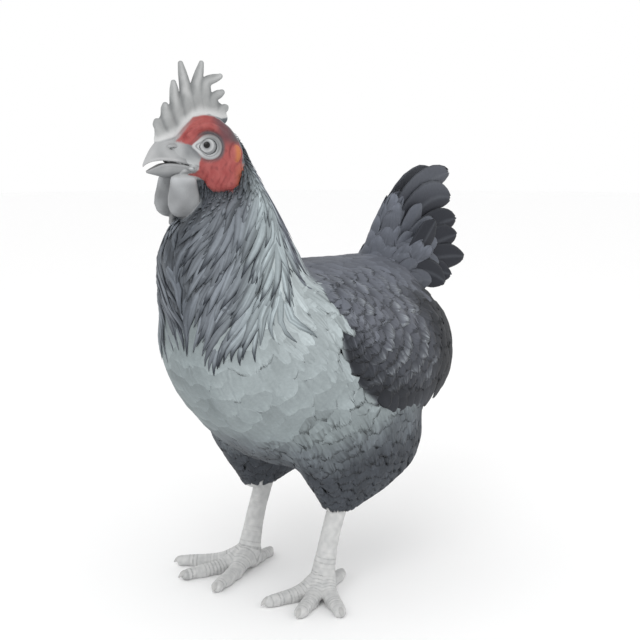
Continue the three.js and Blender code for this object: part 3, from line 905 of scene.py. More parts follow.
def eye_material():
    """Painted colour under a thin wet film."""
    film = {"Roughness": 0.25, "Specular IOR Level": 0.25, "Coat Weight": 0.15, "Coat Roughness": 0.05}
    material, tree, shader = new_material("eye", film)
    tree.links.new(vertex_colour(tree), shader.inputs["Base Color"])
    return material


# ---------------------------------------------------------------- feet
FOOT_STEP = 0.6
FEET = {
    "l": {
        "ankle": (49, 6, 20),
        "hock": (51, 23, 78),
        "toes": {"inner": (32, -49), "middle": (69, -46), "outer": (94, -20), "hind": (36, 46)},
    },
    "r": {
        "ankle": (-40, 4, 20),
        "hock": (-45, 29, 78),
        "toes": {"inner": (-19, -58), "middle": (-62, -59), "outer": (-92, -39), "hind": (-47, 39)},
    },
}
SHANK_RADII = (9.6, 8.2, 7.7, 8.0, 9.6)
TOE_RADII = (9.2, 8.2, 7.1, 6.7, 6.1, 5.1)
HIND_RADII = (6.8, 6.3, 5.7, 4.9)
TOE_SCALE_LENGTH = 3.3
SHANK_SCALE_LENGTH = 4.4
SHANK_BEND = (0.0, -1.5, 0.0)
LEG_TOP = 84.0  # where the scales give way to feathered skin


def scale_step(along, length):
    """Raised scutes in a row, each with a sharp lower edge."""
    t = (along / length) % 1.0
    return np.minimum(t * 5.0, 1.0) * (1.0 - 0.45 * t)


def share_along(off, axis):
    """How far a toe's or shank's surface faces along an axis at places given from its middle."""
    return off[axis] / np.maximum(np.sqrt(off[0] ** 2 + off[1] ** 2 + off[2] ** 2), 1e-3)


def toe_relief(along, off):
    """Scutes on top of a toe, and pads below."""
    up = share_along(off, 2)
    top = smoothstep(-0.05, 0.45, up)
    pads = 0.45 * np.cos(along * 2 * math.pi / 17.0 + 1.0) * smoothstep(0.2, -0.5, up)
    return 0.6 * top * scale_step(along, TOE_SCALE_LENGTH) + pads


def shank_relief(along, off):
    """Scutes down the shank's front and back, not level with each other."""
    front = -share_along(off, 1)
    rows = smoothstep(0.1, 0.6, np.abs(front))
    return 0.45 * rows * scale_step(along + 2.0 * (front < 0), SHANK_SCALE_LENGTH)


def toe_line(foot, tip, hind):
    """A toe's points from the ankle to where its claw begins, and the claw's direction."""
    ankle = np.array(foot["ankle"], float)
    start = np.array((ankle[0], ankle[1], 11.0 if hind else 16.0))
    end = np.array((tip[0], tip[1], 4.2))
    way = (end - start) * (1, 1, 0)
    way /= np.linalg.norm(way)
    end = end - way * 6.0
    knuckle = mix(start, end, 0.45)
    knuckle[2] = 4.6 if hind else 5.6
    return [start, knuckle, np.array((end[0], end[1], 3.6 if hind else 4.0))], way


def foot_mesh(foot):
    """Shank and toes, standing flat on the floor."""
    tips = np.array([(x, y, 0) for x, y in foot["toes"].values()])
    low = np.minimum(tips.min(0), (foot["ankle"][0] - 18, foot["ankle"][1] - 18, 0)) - (10, 10, 2)
    high = np.maximum(tips.max(0), (foot["hock"][0] + 14, foot["hock"][1] + 14, 92)) + (10, 10, 6)
    grid = Grid(low, high, FOOT_STEP)
    ankle, hock = np.array(foot["ankle"], float), np.array(foot["hock"], float)
    middle = (ankle + hock) / 2 + SHANK_BEND
    above = hock + (0, 4, 12)
    add_chain(grid, (ankle, middle, hock, above), (*SHANK_RADII, 9.0), samples=26, relief=shank_relief)
    add_ball(grid, (ankle[0], ankle[1], 9), (10.5, 10.5, 9.5), blend=4.0)
    for name, tip in foot["toes"].items():
        line, _ = toe_line(foot, tip, name == "hind")
        radii = HIND_RADII if name == "hind" else TOE_RADII
        add_chain(grid, line, radii, samples=16, blend=2.6, flat=(1, 1, 0.9), relief=toe_relief)
    _, (_, _, z) = grid.window(low, high)
    grid.d = np.maximum(grid.d, -z).astype(np.float32)
    points, faces = grid.mesh()
    points[:, 2] = np.maximum(points[:, 2], 0.0)
    return points, outward(points, faces)


def tube(line, radii, sides):
    """A closed tapering rod along points."""
    ahead = unit(np.gradient(line, axis=0))
    across = unit(np.cross(ahead, (0, 0, 1.0)))
    over = np.cross(ahead, across)
    turn = np.linspace(0, 2 * math.pi, sides, endpoint=False)
    rings = [
        line[k] + radii[k] * (np.cos(turn)[:, None] * across[k] + np.sin(turn)[:, None] * over[k])
        for k in range(len(line))
    ]
    return np.concatenate(rings), ring_faces(len(line), sides)


def add_claws(side):
    """A foot's claws, each a tapering rod bent down at its tip."""
    foot = FEET[side]
    points, faces, count = [], [], 0
    for name, tip in foot["toes"].items():
        line, way = toe_line(foot, tip, name == "hind")
        start = line[-1] - way * 2.5 + (0, 0, 1.2)
        path = curve_points([start, start + way * 6.0 + (0, 0, 0.6), start + way * 10.6 - (0, 0, 2.6)], 12)
        t = np.linspace(0, 1, 12)
        radii = 2.9 * (1 - t**2.2) + 0.35
        part, quads = tube(path, radii, 14)
        part[:, 2] = np.maximum(part[:, 2], 0.3)
        points.append(part)
        faces.append(outward(part, quads) + count)
        count += len(part)
    claws = new_object(f"claws_{side}", np.concatenate(points), np.concatenate(faces))
    paint(claws, "tint", np.tile(CLAW, (count, 1)))
    claws.data.materials.append(horn_material("claw", 0.4))
    close_ends(claws)
    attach(claws, "root")
    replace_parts(claws, *(f"claw_{name}_{side}" for name in foot["toes"]))


def close_ends(piece):
    """Fills the open rings at the ends of rods."""
    shape = bmesh.new()
    shape.from_mesh(piece.data)
    bmesh.ops.holes_fill(shape, edges=[e for e in shape.edges if e.is_boundary], sides=64)
    bmesh.ops.recalc_face_normals(shape, faces=shape.faces)
    shape.to_mesh(piece.data)
    shape.free()


# ---------------------------------------------------------------- markings
FACE_EDGE = (  # the bare red face's outline (f, u)
    (24.6, 3.4), (17, 12), (9, 20), (2, 22.5), (-6, 21.5), (-13, 18), (-20, 11.5), (-24.5, 4), (-27, -2),
    (-28.6, -8), (-26.8, -18), (-24, -28), (-16, -36.5), (-6, -38), (1, -33), (4, -27), (9, -24.6),
    (15.5, -23.2), (10, -22.0), (7.5, -19.5), (7.5, -14.5), (6.6, -10), (8.4, -6.5), (12.5, -1.2), (17.6, 0.4),
)


def outline_distance(f, u, outline):
    """Signed distance to a closed outline, negative inside."""
    corners = np.array(outline, float)
    following = np.roll(corners, -1, 0)
    best = np.full(f.shape, 1e9)
    inside = np.zeros(f.shape, bool)
    for (fa, ua), (fb, ub) in zip(corners, following):
        df, du = fb - fa, ub - ua
        t = np.clip(((f - fa) * df + (u - ua) * du) / (df * df + du * du), 0, 1)
        best = np.minimum(best, (f - fa - t * df) ** 2 + (u - ua - t * du) ** 2)
        crosses = ((ua > u) != (ub > u)) & (f < fa + (u - ua) * df / (du if abs(du) > 1e-9 else 1e-9))
        inside ^= crosses
    return np.where(inside, -1, 1) * np.sqrt(best)


def wobble(points, scale, phase=0.0):
    """A smooth made-up unevenness between -1 and 1."""
    x, y, z = (points[..., k] / scale for k in range(3))
    first = np.sin(x * 1.7 + 1.3 * np.sin(y * 1.1 + phase)) * np.cos(z * 1.3 + 1.1 * np.sin(x * 0.9 + phase))
    second = np.sin(y * 2.1 + 1.7 * np.sin(z * 1.6 + phase)) * np.cos(x * 2.3 + phase)
    return (first + second) * 0.5


# RED_SHADE is a dark purple-grey, painted as shade behind the eye and brow
RED, RED_DEEP, RED_PALE, RED_SHADE = rgb("923f3e"), rgb("743234"), rgb("a85a56"), rgb("5a3b41")
LOBE_ORANGE = rgb("b76f45")
BILL_PALE, BILL_MID, BILL_SHADE = rgb("acadae"), rgb("8f9192"), rgb("6c6e70")
# MOUTH_SHADOW is painted shade for the inside of the mouth
MOUTH_SHADOW, CLAW = rgb("2b2a2b"), rgb("b4b4b3")
PALE_SKIN, SHADE_SKIN, WATTLE_GREY = rgb("a3a5a6"), rgb("808284"), rgb("8c8e90")
# COMB_GROOVE_SHADE is painted shade for the grooves between the comb's fingers
COMB_BRIGHT, COMB_MID, COMB_GROOVE_SHADE = rgb("c4c5c5"), rgb("949696"), rgb("626465")
EYE_SHADOW = rgb("54575b")
LEG_PALE, LEG_SHADE, LEG_GROOVE = rgb("cececd"), rgb("b8b9b9"), rgb("969797")
UNDER_COAT = rgb("5c6166")


def blend_colour(base, colour, amount):
    """A colour laid over another by an amount between 0 and 1."""
    return base + (colour - base) * np.clip(amount, 0, 1)[..., None]


def layered(base, *layers):
    """Colours laid over a base in turn, each given with its amount."""
    for colour, amount in layers:
        base = blend_colour(base, colour, amount)
    return base


def face_colour(points):
    """Colours of the bare head, comb and wattles."""
    f, l, u = to_head(points).T
    comb = smoothstep(-0.5, 1.0, comb_height(f, u)) * smoothstep(9.5, 7.5, np.abs(l))
    edge = outline_distance(f, u, FACE_EDGE) + wobble(points, 2.4) * 0.5
    edge = edge - 2.2 * smoothstep(-14.0, -20.0, u) * smoothstep(0.0, -8.0, f)
    under_bill = smoothstep(-19.0, -21.0, u) * smoothstep(7.5, 8.5, f)
    colour = layered(
        np.tile(PALE_SKIN, (len(points), 1)),
        (SHADE_SKIN, smoothstep(22, 15, f) * smoothstep(-14, -6, u) * smoothstep(5, -1, u)),
        (UNDER_COAT, smoothstep(7.0, 4.0, f) * smoothstep(0.2, 1.0, edge)),
        (PALE_SKIN, under_bill),
        (UNDER_COAT, smoothstep(-26.0, -29.0, u)),
    )
    hanging = smoothstep(-24.0, -26.5, u) * smoothstep(0.8, 0.2, hanging_skin(f, l, u))
    # the wattles and small lobes: partly random mottling, partly a painted highlight towards their tops
    light = 0.4 + 0.5 * wobble(points, 7.0, 2.0) + smoothstep(-33.0, -25.0, u)
    colour = mix(colour, mix(WATTLE_GREY * 0.9, WATTLE_GREY * 1.16, light[:, None]), hanging[:, None])
    red = smoothstep(0.7, -0.7, edge) * smoothstep(3.5, 6.0, np.abs(l))
    from_lobe = np.sqrt(((f - EAR_LOBE[0]) / 4.8) ** 2 + ((u - EAR_LOBE[2]) / 7.2) ** 2)
    outer = smoothstep(12, 14, np.abs(l))
    # a painted shadow line round the front of the ear lobe's rim
    lobe_shadow = 0.8 * outer * ridge(from_lobe, 1.15, 0.16) * smoothstep(-22.0, -18.0, f + 0.4 * u)
    lobe = smoothstep(1.05, 0.8, from_lobe) * outer
    side = smoothstep(8.0, 11.0, np.abs(l))
    ring = eye_ring(f, u)
    behind = smoothstep(8.0, -6.0, f - 0.7 * u)
    shadow = smoothstep(13.6, 10.6, ring) * smoothstep(9.2, 10.0, ring)
    lit = smoothstep(-11.0, 8.0, f - u - 2.2)
    gape = np.sqrt((f - GAPE[0]) ** 2 + (u - GAPE[2]) ** 2)
    slit = np.abs(u - mouth_line(f))
    colour = layered(
        colour,
        (red_tone(points, f, u), red),
        (RED_DEEP, lobe_shadow),
        (RED_PALE, lobe),
        (LOBE_ORANGE, lobe * smoothstep(-18.5, -22.0, f)),
        (EYE_SHADOW, side * shadow * mix(0.2, 0.95, behind)),
        (mix(PALE_SKIN * 0.84, PALE_SKIN * 1.14, lit[:, None]), side * smoothstep(10.2, 9.2, ring)),
        (SHADE_SKIN * 0.85, side * ridge(ring, 7.0, 0.5) * 0.7),
        (SHADE_SKIN, 0.45 * side * ridge(ring, 9.0, 2.0) * smoothstep(-5.0, -11.0, u)),
        (PALE_SKIN, side * ridge(gape, 2.4, 0.7) * smoothstep(18.0, 14.0, f)),
        (SHADE_SKIN * 0.9, side * smoothstep(1.6, 0.6, gape)),
        (SHADE_SKIN * 0.72, 0.8 * side * ridge(u, WATTLE_TOP + 0.6, 1.0) * smoothstep(8.0, 12.0, f)),
        (PALE_SKIN * 1.15, side * 0.8 * ridge(slit, 1.8, 0.6) * smoothstep(11.0, 14.0, f)),
        # painted shade inside the mouth's slit
        (MOUTH_SHADOW, smoothstep(0.85, 0.5, slit) * smoothstep(14.2, 15.2, f) * smoothstep(34, 30, f)),
    )
    return blend_colour(colour, comb_tone(points, f, u), comb)


def comb_tone(points, f, u):
    """The comb's greys: bright at its base, with a painted highlight along the fingers' middles near their tops
    and painted shade in the grooves between them.
    """
    top = comb_height(f, u)
    finger, second = comb_ridge(f, u) + 0.12 * wobble(points, 3.0)
    # painted shade in the grooves, deepest where two fingers lie close together
    groove = smoothstep(0.3, 1.1, finger) * smoothstep(2.0, 9.0, top)
    groove = groove * mix(0.25, 1.0, smoothstep(2.2, 1.5, second))
    return layered(
        np.tile(COMB_BRIGHT, (len(points), 1)),
        (COMB_MID, smoothstep(1.0, 10.0, top) * (1.05 + 0.5 * wobble(points, 6.0, 1.0))),
        (COMB_GROOVE_SHADE, 0.7 * groove),
        # painted highlight along the fingers' middles near their tops
        (COMB_BRIGHT, 0.5 * smoothstep(0.6, 0.0, finger) * smoothstep(12, 28, top)),
    )


def red_tone(points, f, u):
    """The bare face's red: mottled, paler on the brow, with painted shade behind it, and orange at the lower
    edge.
    """
    return layered(
        np.tile(RED, (len(points), 1)),
        (RED_PALE, 0.5 + 0.5 * wobble(points, 4.0, 1.0)),
        (RED_DEEP, 0.5 * smoothstep(0.1, 0.9, wobble(points, 2.2, 2.0))),
        (RED_PALE, 0.6 * smoothstep(8, 14, u) * smoothstep(-6, 4, f)),
        # painted shade behind the eye and the brow
        (RED_SHADE, 0.85 * smoothstep(-2, -13, f) * smoothstep(-4, 6, u)),
        (EYE_SHADOW * 0.9, 0.8 * smoothstep(-14, -25, f) * smoothstep(-2, 4, u)),
        (LOBE_ORANGE, 0.5 * smoothstep(-17, -26, f) * smoothstep(-10, -24, u)),
    )


def comb_height(f, u):
    """Height above the line where the comb meets the head."""
    return u - np.interp(f, (-22, -15, -4, 9, 16, 23, 37), (20, 19, 22.3, 20.5, 13.5, 5.4, 1.6))


def small_lobe_points():
    """Places along the middles of the small lobes."""
    return [place for line in SMALL_LOBES for place in curve_points(line, 8)]


def hanging_skin(f, l, u):
    """Distance from the wattles and the small lobes."""
    head = np.stack((f, l, u), -1)
    lobes = [np.linalg.norm(head - place, axis=-1) - LOBE_REACH for place in small_lobe_points()]
    return np.minimum.reduce([wattles(f, l, u), *lobes])


def soft_parts(head):
    """Distance from the wattles, the small lobes and the bare face."""
    f, l, u = head.T
    return np.minimum(hanging_skin(f, l, u), outline_distance(f, u, FACE_EDGE))


def scute_grooves(points):
    """How near each place on a foot is to a groove between two scutes."""
    near = np.flatnonzero(points[:, 2] < LEG_TOP)
    place, best, groove = points[near], np.full(len(near), 1e9), np.zeros(len(near))
    for foot in FEET.values():
        ankle, hock = (np.array(foot[name], float) for name in ("ankle", "hock"))
        shank = [ankle, (ankle + hock) / 2 + SHANK_BEND, hock]
        toes = [toe_line(foot, tip, name == "hind")[0] for name, tip in foot["toes"].items()]
        for line, length in (*((toe, TOE_SCALE_LENGTH) for toe in toes), (shank, SHANK_SCALE_LENGTH)):
            spots = curve_points(line, 60)
            run = np.concatenate([[0], np.cumsum(np.linalg.norm(np.diff(spots, axis=0), axis=1))])
            gaps = np.linalg.norm(place[:, None] - spots[None], axis=2)
            index = gaps.argmin(1)
            gap = gaps[np.arange(len(near)), index]
            phase = (run[index] / length) % 1.0
            line_here = np.maximum(smoothstep(0.22, 0.0, phase), smoothstep(0.9, 1.0, phase))
            groove = np.where(gap < best, line_here, groove)
            best = np.minimum(best, gap)
    result = np.zeros(len(points))
    result[near] = groove * (0.6 + 0.4 * wobble(place, 2.0)) * smoothstep(46.0, 26.0, place[:, 2])
    return result


def skin_colour(points):
    """The skin's colours: the bare head, the legs, and a slate under the coat."""
    head = to_head(points)
    f, l, u = head.T
    on_head = smoothstep(56.0, 50.0, np.linalg.norm(head * (1.0, 1.0, 0.6), axis=1))
    crest = smoothstep(-1.0, 2.0, comb_height(f, u)) * smoothstep(9.0, 7.0, np.abs(l))
    behind = smoothstep(-25.0, -30.0, f) * smoothstep(-4.0, 2.0, u) * (1 - crest)
    below = smoothstep(-34.0, -40.0, u) * smoothstep(8.0, 2.0, f)
    below = np.maximum(below, smoothstep(-24.0, -26.0, u) * smoothstep(1.5, 3.0, soft_parts(head)))
    leg = layered(
        np.tile(LEG_PALE, (len(points), 1)),
        (LEG_SHADE, 0.5 + 0.5 * wobble(points, 3.0)),
        (LEG_GROOVE, scute_grooves(points)),
    )
    legs = smoothstep(LEG_TOP, LEG_TOP - 6.0, points[:, 2])
    colour = blend_colour(np.tile(UNDER_COAT, (len(points), 1)), leg, legs)
    bare = on_head * (1 - behind) * (1 - below)
    return mix(colour, face_colour(points), bare[:, None])


# ---------------------------------------------------------------- the coat's lie
LIE = (  # a place on the left side, and the way its feathers run there
    ((0, -30, 378), (0, 0.45, -0.89)),
    ((0, -12, 335), (0, 0.25, -0.97)),
    ((0, 4, 300), (0, 0.7, -0.7)),
    ((0, 30, 288), (0, 1, -0.1)),
    ((34, 40, 282), (0.1, 1, -0.2)),
    ((0, 70, 286), (0, 1, -0.05)),
    ((34, 90, 270), (0.15, 1, -0.2)),
    ((0, 115, 280), (0, 1, 0.15)),
    ((0, 148, 298), (0, 0.8, 0.6)),
    ((22, 160, 272), (0.1, 0.95, 0.3)),
    ((34, 150, 250), (0.1, 0.9, -0.3)),
    ((0, 172, 235), (0, 0.5, -0.85)),
    ((40, 140, 200), (0, 0.6, -0.8)),
    ((17, -45, 382), (0, 0.5, -0.87)),
    ((15, -58, 345), (-0.05, -0.2, -1)),
    ((8, -88, 345), (-0.2, 0, -0.99)),
    ((34, -30, 345), (0, 0.05, -1)),
    ((38, -50, 335), (-0.15, -0.42, -0.9)),
    ((50, -60, 305), (-0.25, -0.5, -0.83)),
    ((50, -28, 300), (0.1, 0.15, -0.98)),
    ((62, -62, 270), (-0.2, -0.52, -0.83)),
    ((60, -44, 262), (0.05, 0.1, -0.99)),
    ((0, -98, 345), (0, -0.2, -0.98)),
    ((0, -112, 310), (-0.5, -0.1, -0.86)),
    ((0, -120, 265), (-0.5, 0, -0.87)),
    ((24, -106, 320), (-0.6, -0.2, -0.77)),
    ((34, -104, 285), (-0.66, -0.15, -0.73)),
    ((44, -90, 250), (-0.5, -0.35, -0.8)),
    ((22, -108, 240), (-0.48, 0, -0.88)),
    ((0, -121, 220), (0, 0.1, -1)),
    ((0, -106, 170), (0, 0.5, -0.86)),
    ((0, -72, 130), (0, 0.9, -0.42)),
    ((0, -20, 110), (0, 1, -0.1)),
    ((0, 40, 108), (0, 1, 0.05)),
    ((0, 100, 140), (0, 0.85, 0.5)),
    ((52, -90, 200), (0.05, 0.3, -0.95)),
    ((60, -74, 190), (0.05, 0.45, -0.88)),
    ((45, -70, 145), (0, 0.75, -0.65)),
    ((70, -50, 180), (0.05, 0.6, -0.8)),
    ((76, -36, 223), (0.1, 0.72, -0.68)),
    ((70, -43, 240), (0.1, 0.74, -0.66)),
    ((66, -22, 272), (0.2, 0.6, -0.77)),
    ((60, -4, 272), (0.2, 0.62, -0.76)),
    ((84, -10, 236), (0.05, 0.5, -0.86)),
    ((40, -8, 292), (0.25, 0.75, -0.6)),
    ((84, 0, 160), (0, 0.55, -0.83)),
    ((86, 50, 160), (0, 0.3, -0.95)),
    ((78, 45, 120), (0, 0.25, -0.97)),
    ((55, 30, 85), (0, -0.1, -1)),
    ((58, 110, 135), (0, 0.1, -0.99)),
    ((20, 40, 112), (0, 0.2, -0.98)),
    ((50, 70, 95), (0, -0.35, -0.94)),
)
WING_LIE = (  # the same over the wing, along Y and Z
    ((-20, 255), (0.6, -0.8)),
    ((-15, 225), (0.45, -0.9)),
    ((5, 195), (0.5, -0.87)),
    ((40, 268), (1, -0.12)),
    ((30, 240), (0.78, -0.62)),
    ((40, 215), (0.7, -0.7)),
    ((45, 180), (0.45, -0.9)),
    ((90, 262), (1, -0.2)),
    ((90, 225), (0.8, -0.6)),
    ((85, 170), (0.35, -0.93)),
    ((130, 248), (0.94, -0.4)),
    ((135, 205), (0.66, -0.75)),
    ((125, 165), (0.35, -0.93)),
    ((160, 190), (0.6, -0.8)),
)
WING_EDGE = (
    (-30, 236), (-22, 258), (-6, 276), (34, 276), (70, 270), (104, 264), (136, 254), (158, 234), (169, 196),
    (166, 172), (150, 156), (112, 152), (70, 156), (34, 172), (10, 187), (-8, 203), (-20, 220),
)
WING_LOW = ((-20, -8, 10, 34, 70, 112, 150, 170), (220, 203, 187, 172, 156, 152, 156, 172))
WING_FRONT = (172, 187, 198, 215, 233, 247, 260, 270, 280), (36, 18, 8, -1, -7, -11, -12, -3, 8)  # Z, Y
SHOULDER_WAY = (0.5, 0.38, -0.78)  # how the left shoulder's feathers run beside the wing
PARTING = 7.0  # how far left of the middle the hackle's front parting lies


def weigh(places, ways, points, power):
    """Directions at points, blended from the nearest marked places."""
    total = 0.0
    for place, way in zip(places, ways):
        gap = ((points - place) ** 2).sum(-1) + 4.0
        total = total + (way / gap[..., None] ** power)
    return unit(total, 1e-9)


def across_by(share):
    """Factors that leave Y and Z as they are and scale X by a share."""
    return share * np.array((1.0, 0, 0)) + np.array((0, 1.0, 1.0))


def side_of(points):
    """Factors that turn the bird's left side into the side that each point lies on."""
    return across_by(np.where(points[..., :1] < 0, -1.0, 1.0))


def body_lie(points):
    """The way feathers run over the body, alike on both sides of a line that PARTING moves in front."""
    places, ways = (np.array(column, float) for column in zip(*LIE))
    front = smoothstep(-60, -85, points[..., 1]) * smoothstep(195, 215, points[..., 2])
    shift = np.zeros_like(points)
    shift[..., 0] = PARTING * front
    points = points - shift
    side = side_of(points)
    fade = across_by(np.clip(np.abs(points[..., :1]) / 4.0, 0, 1))
    return weigh(places, unit(ways), points * side, 1.9) * side * fade


def shoulder_lie(points):
    """The body's lie, drawn down and out along the wing's front edge."""
    high = smoothstep(238, 266, points[..., 2:]) * smoothstep(-52, -34, points[..., 1:2])
    return unit(mix(body_lie(points), np.array(SHOULDER_WAY) * side_of(points), high))


def wing_lie(points):
    """The way feathers run over a wing."""
    places, ways = (np.array(column, float) for column in zip(*WING_LIE))
    flat = weigh(places, ways, points[..., 1:], 1.6)
    return np.concatenate([np.zeros_like(flat[..., :1]), flat], -1)


# ---------------------------------------------------------------- surfaces that feathers lie on
class Sheet(Surface):
    """A wing's outer face as one smooth sheet, carried on past the wing's edges."""

    POWERS = tuple((i, j) for i in range(4) for j in range(4) if i + j <= 4)

    def __init__(self, grid, side):
        self.side = side
        inside = grid.d < 0
        axes = [np.arange(n) * grid.step + low for n, low in zip(grid.shape, grid.low)]
        order = inside if side > 0 else inside[::-1]
        found = order.any(0)
        index = order.shape[0] - 1 - order[::-1].argmax(0)
        reach = axes[0][index] if side > 0 else -axes[0][::-1][index]
        y, z = np.meshgrid(axes[1], axes[2], indexing="ij")
        near = outline_distance(y, z, WING_EDGE) < -4.0
        keep = found & near
        self.fit = np.linalg.lstsq(self.terms(y[keep], z[keep]), np.abs(reach[keep]) + 1.0, rcond=None)[0]

    def terms(self, y, z):
        """What the sheet's reach is a sum of."""
        a, b = (y - 70.0) / 100.0, (z - 210.0) / 60.0
        return np.stack([a**i * b**j for i, j in self.POWERS], -1)

    def face(self, y, z):
        """How far out the sheet lies."""
        return self.terms(y, z) @ self.fit

    def at(self, points):
        y, z = points[..., 1], points[..., 2]
        here = self.face(y, z)
        back, up = (-(there - here) * 2 for there in (self.face(y + 0.5, z), self.face(y, z + 0.5)))
        slope = np.stack([np.ones_like(here), back, up], -1)
        steep = np.linalg.norm(slope, axis=-1, keepdims=True)
        slope = slope / steep * np.array((self.side, 1, 1))
        return (points[..., 0] * self.side - here) / steep[..., 0], slope


class Wing(Surface):
    """The body's surface over the wing's front and top, and the wing's own sheet at its free edges."""

    def __init__(self, body, sheet):
        self.body, self.sheet = body, sheet

    def at(self, points):
        y, z = points[..., 1], points[..., 2]
        free = np.maximum(smoothstep(30, 8, z - np.interp(y, *WING_LOW)), smoothstep(118, 146, y))
        far, out = self.body.at(points)
        near, flat = self.sheet.at(points)
        return mix(far, near, free), unit(mix(out, flat, free[..., None]))

    def reach(self, y, z):
        """Points of the wing's outer face at places along Y and Z."""
        start = np.stack([self.sheet.face(y, z) * self.sheet.side, y, z], -1)
        return self.settle(start, rounds=3)[0]


UPSTREAM_STEPS = 12


def scatter(points, spacing, rng):
    """Indices of points picked so that none is nearer another than its spacing."""
    tree = KDTree(len(points))
    for k, point in enumerate(points):
        tree.insert(point, k)
    tree.balance()
    alive = np.ones(len(points), bool)
    picked = []
    for k in rng.permutation(len(points)):
        if alive[k]:
            picked.append(k)
            alive[[near[1] for near in tree.find_range(points[k], spacing[k])]] = False
    return np.array(picked, int)


def points_on(grid, count, rng):
    """Random points on a grid's surface."""
    points, faces = grid.mesh()
    pick = rng.integers(0, len(faces), count)
    a, b = rng.random((2, count, 1))
    corners = points[faces[pick]]
    return mix(mix(corners[:, 0], corners[:, 1], a), mix(corners[:, 3], corners[:, 2], a), b)


def flat_way(lie, place, slope):
    """The way that feathers run at places, laid flat on the surface there."""
    way = lie(place)
    return unit(way - (way * slope).sum(-1, keepdims=True) * slope)


def upstream(surface, lie, tips, length):
    """Where feathers of a length must be rooted for their tips to reach given places."""
    place = tips
    for _ in range(UPSTREAM_STEPS):
        distance, slope = surface.at(place)
        step = flat_way(lie, place, slope) * (length / UPSTREAM_STEPS)[:, None]
        place = place - distance[:, None] * slope - step
    return surface.settle(place)[0]


# ---------------------------------------------------------------- feathers
class Vane:
    """A feather's outline: places along it, half widths there, and columns across it."""

    def __init__(self, along, widths, columns):
        self.t = np.array(along, float)
        self.w = np.array(widths, float)
        self.x = np.linspace(-1, 1, columns)


PETAL = Vane((0, 0.2, 0.4, 0.58, 0.74, 0.86, 0.95, 1.0), (0.3, 0.62, 0.86, 1.0, 0.98, 0.84, 0.6, 0.3), 17)
LOCK = Vane(
    (0, 0.14, 0.28, 0.42, 0.55, 0.67, 0.78, 0.88, 0.95, 1.0),
    (0.45, 0.75, 0.94, 1.0, 0.95, 0.82, 0.62, 0.38, 0.18, 0.04),
    9,
)
SOFT = Vane(
    (0, 0.15, 0.3, 0.45, 0.6, 0.72, 0.83, 0.92, 1.0),
    (0.4, 0.7, 0.9, 1.0, 1.0, 0.94, 0.8, 0.56, 0.2),
    11,
)
TUFT = Vane((0, 0.28, 0.54, 0.74, 0.88, 1.0), (0.3, 0.72, 0.96, 1.0, 0.86, 0.5), 15)
SMALL = Vane((0, 0.3, 0.6, 0.85, 1.0), (0.4, 0.9, 1.0, 0.6, 0.1), 5)
COVERT = Vane((0, 0.22, 0.44, 0.62, 0.77, 0.88, 0.95, 1.0), (0.3, 0.66, 0.92, 1.0, 0.95, 0.8, 0.6, 0.3), 21)
LONG = Vane(
    (0, 0.12, 0.28, 0.45, 0.62, 0.76, 0.87, 0.95, 1.0),
    (0.3, 0.7, 0.9, 1.0, 1.0, 0.97, 0.86, 0.64, 0.3),
    9,
)


def vane_faces(rows, columns):
    """Faces of a closed vane: a top and an underside that share their rim."""
    top = np.arange(rows * columns).reshape(rows, columns)
    under = top.copy()
    inner = np.arange((rows - 2) * (columns - 2)).reshape(rows - 2, columns - 2) + rows * columns
    under[1:-1, 1:-1] = inner
    faces = []
    for r in range(rows - 1):
        for c in range(columns - 1):
            faces.append((top[r, c], top[r, c + 1], top[r + 1, c + 1], top[r + 1, c]))
            faces.append((under[r, c], under[r + 1, c], under[r + 1, c + 1], under[r, c + 1]))
    return np.array(faces), rows * columns + (rows - 2) * (columns - 2)


def vane_uv(vane):
    """Place across and along for each vertex of a closed vane."""
    t, x = np.meshgrid(vane.t, vane.x, indexing="ij")
    place = np.stack([x, t], -1)
    return np.concatenate([place.reshape(-1, 2), place[1:-1, 1:-1].reshape(-1, 2)])


class Coat:
    """Feathers gathered for one piece."""

    def __init__(self, name, slot):
        self.name, self.slot = name, slot
        self.points, self.faces, self.tint, self.vane, self.patch = [], [], [], [], []
        self.count = 0

    def add(self, points, vane, colours, roots):
        """Feathers of one outline: points (n, vertices, 3), colours to match, and each root's place."""
        faces, per = vane_faces(len(vane.t), len(vane.x))
        n = len(points)
        base = self.count + np.arange(n)[:, None, None] * per
        self.faces.append((faces[None] + base).reshape(-1, 4))
        self.points.append(points.reshape(-1, 3))
        self.tint.append(colours.reshape(-1, 3))
        place = vane_uv(vane)
        self.vane.append(np.tile(place, (n, 1)))
        patch = unwrap(roots)[:, None, :] + (place * (0.5, 1.0) - (0.0, 0.5)) * PATCH
        self.patch.append(patch.reshape(-1, 2))
        self.count += n * per

    def build(self):
        """The feathers as one piece, with their places on the vane and on the bake's map."""
        piece = new_object(self.name, np.concatenate(self.points), np.concatenate(self.faces))
        paint(piece, "tint", np.clip(np.concatenate(self.tint), 0, 1))
        for name, values in (("vane", self.vane), ("OFBake", self.patch)):
            layer = piece.data.uv_layers.new(name=name)
            loops = np.empty(len(piece.data.loops), np.int32)
            piece.data.loops.foreach_get("vertex_index", loops)
            layer.data.foreach_set("uv", np.concatenate(values)[loops].astype(np.float32).ravel())
        piece.data.materials.append(feather_material())
        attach(piece, "root")
        return piece


PATCH = 0.003  # how much of the bake's map each feather takes up
CLOUD = 160000  # random places on the body that feathers' tips are picked from


def unwrap(points):
    """Each root's place on a wrap of the skin round the bird's long axis."""
    middle = np.interp(points[:, 1], (-120, -60, 0, 120, 230), (300, 280, 200, 210, 300))
    turn = np.arctan2(points[:, 0], points[:, 2] - middle) / (2 * math.pi) + 0.5
    along = (points[:, 1] * 0.62 - points[:, 2] * 0.78 + 480.0) / 760.0
    return np.clip(np.stack([turn * 0.97 + 0.015, along * 0.97 + 0.015], 1), 0.01, 0.99)


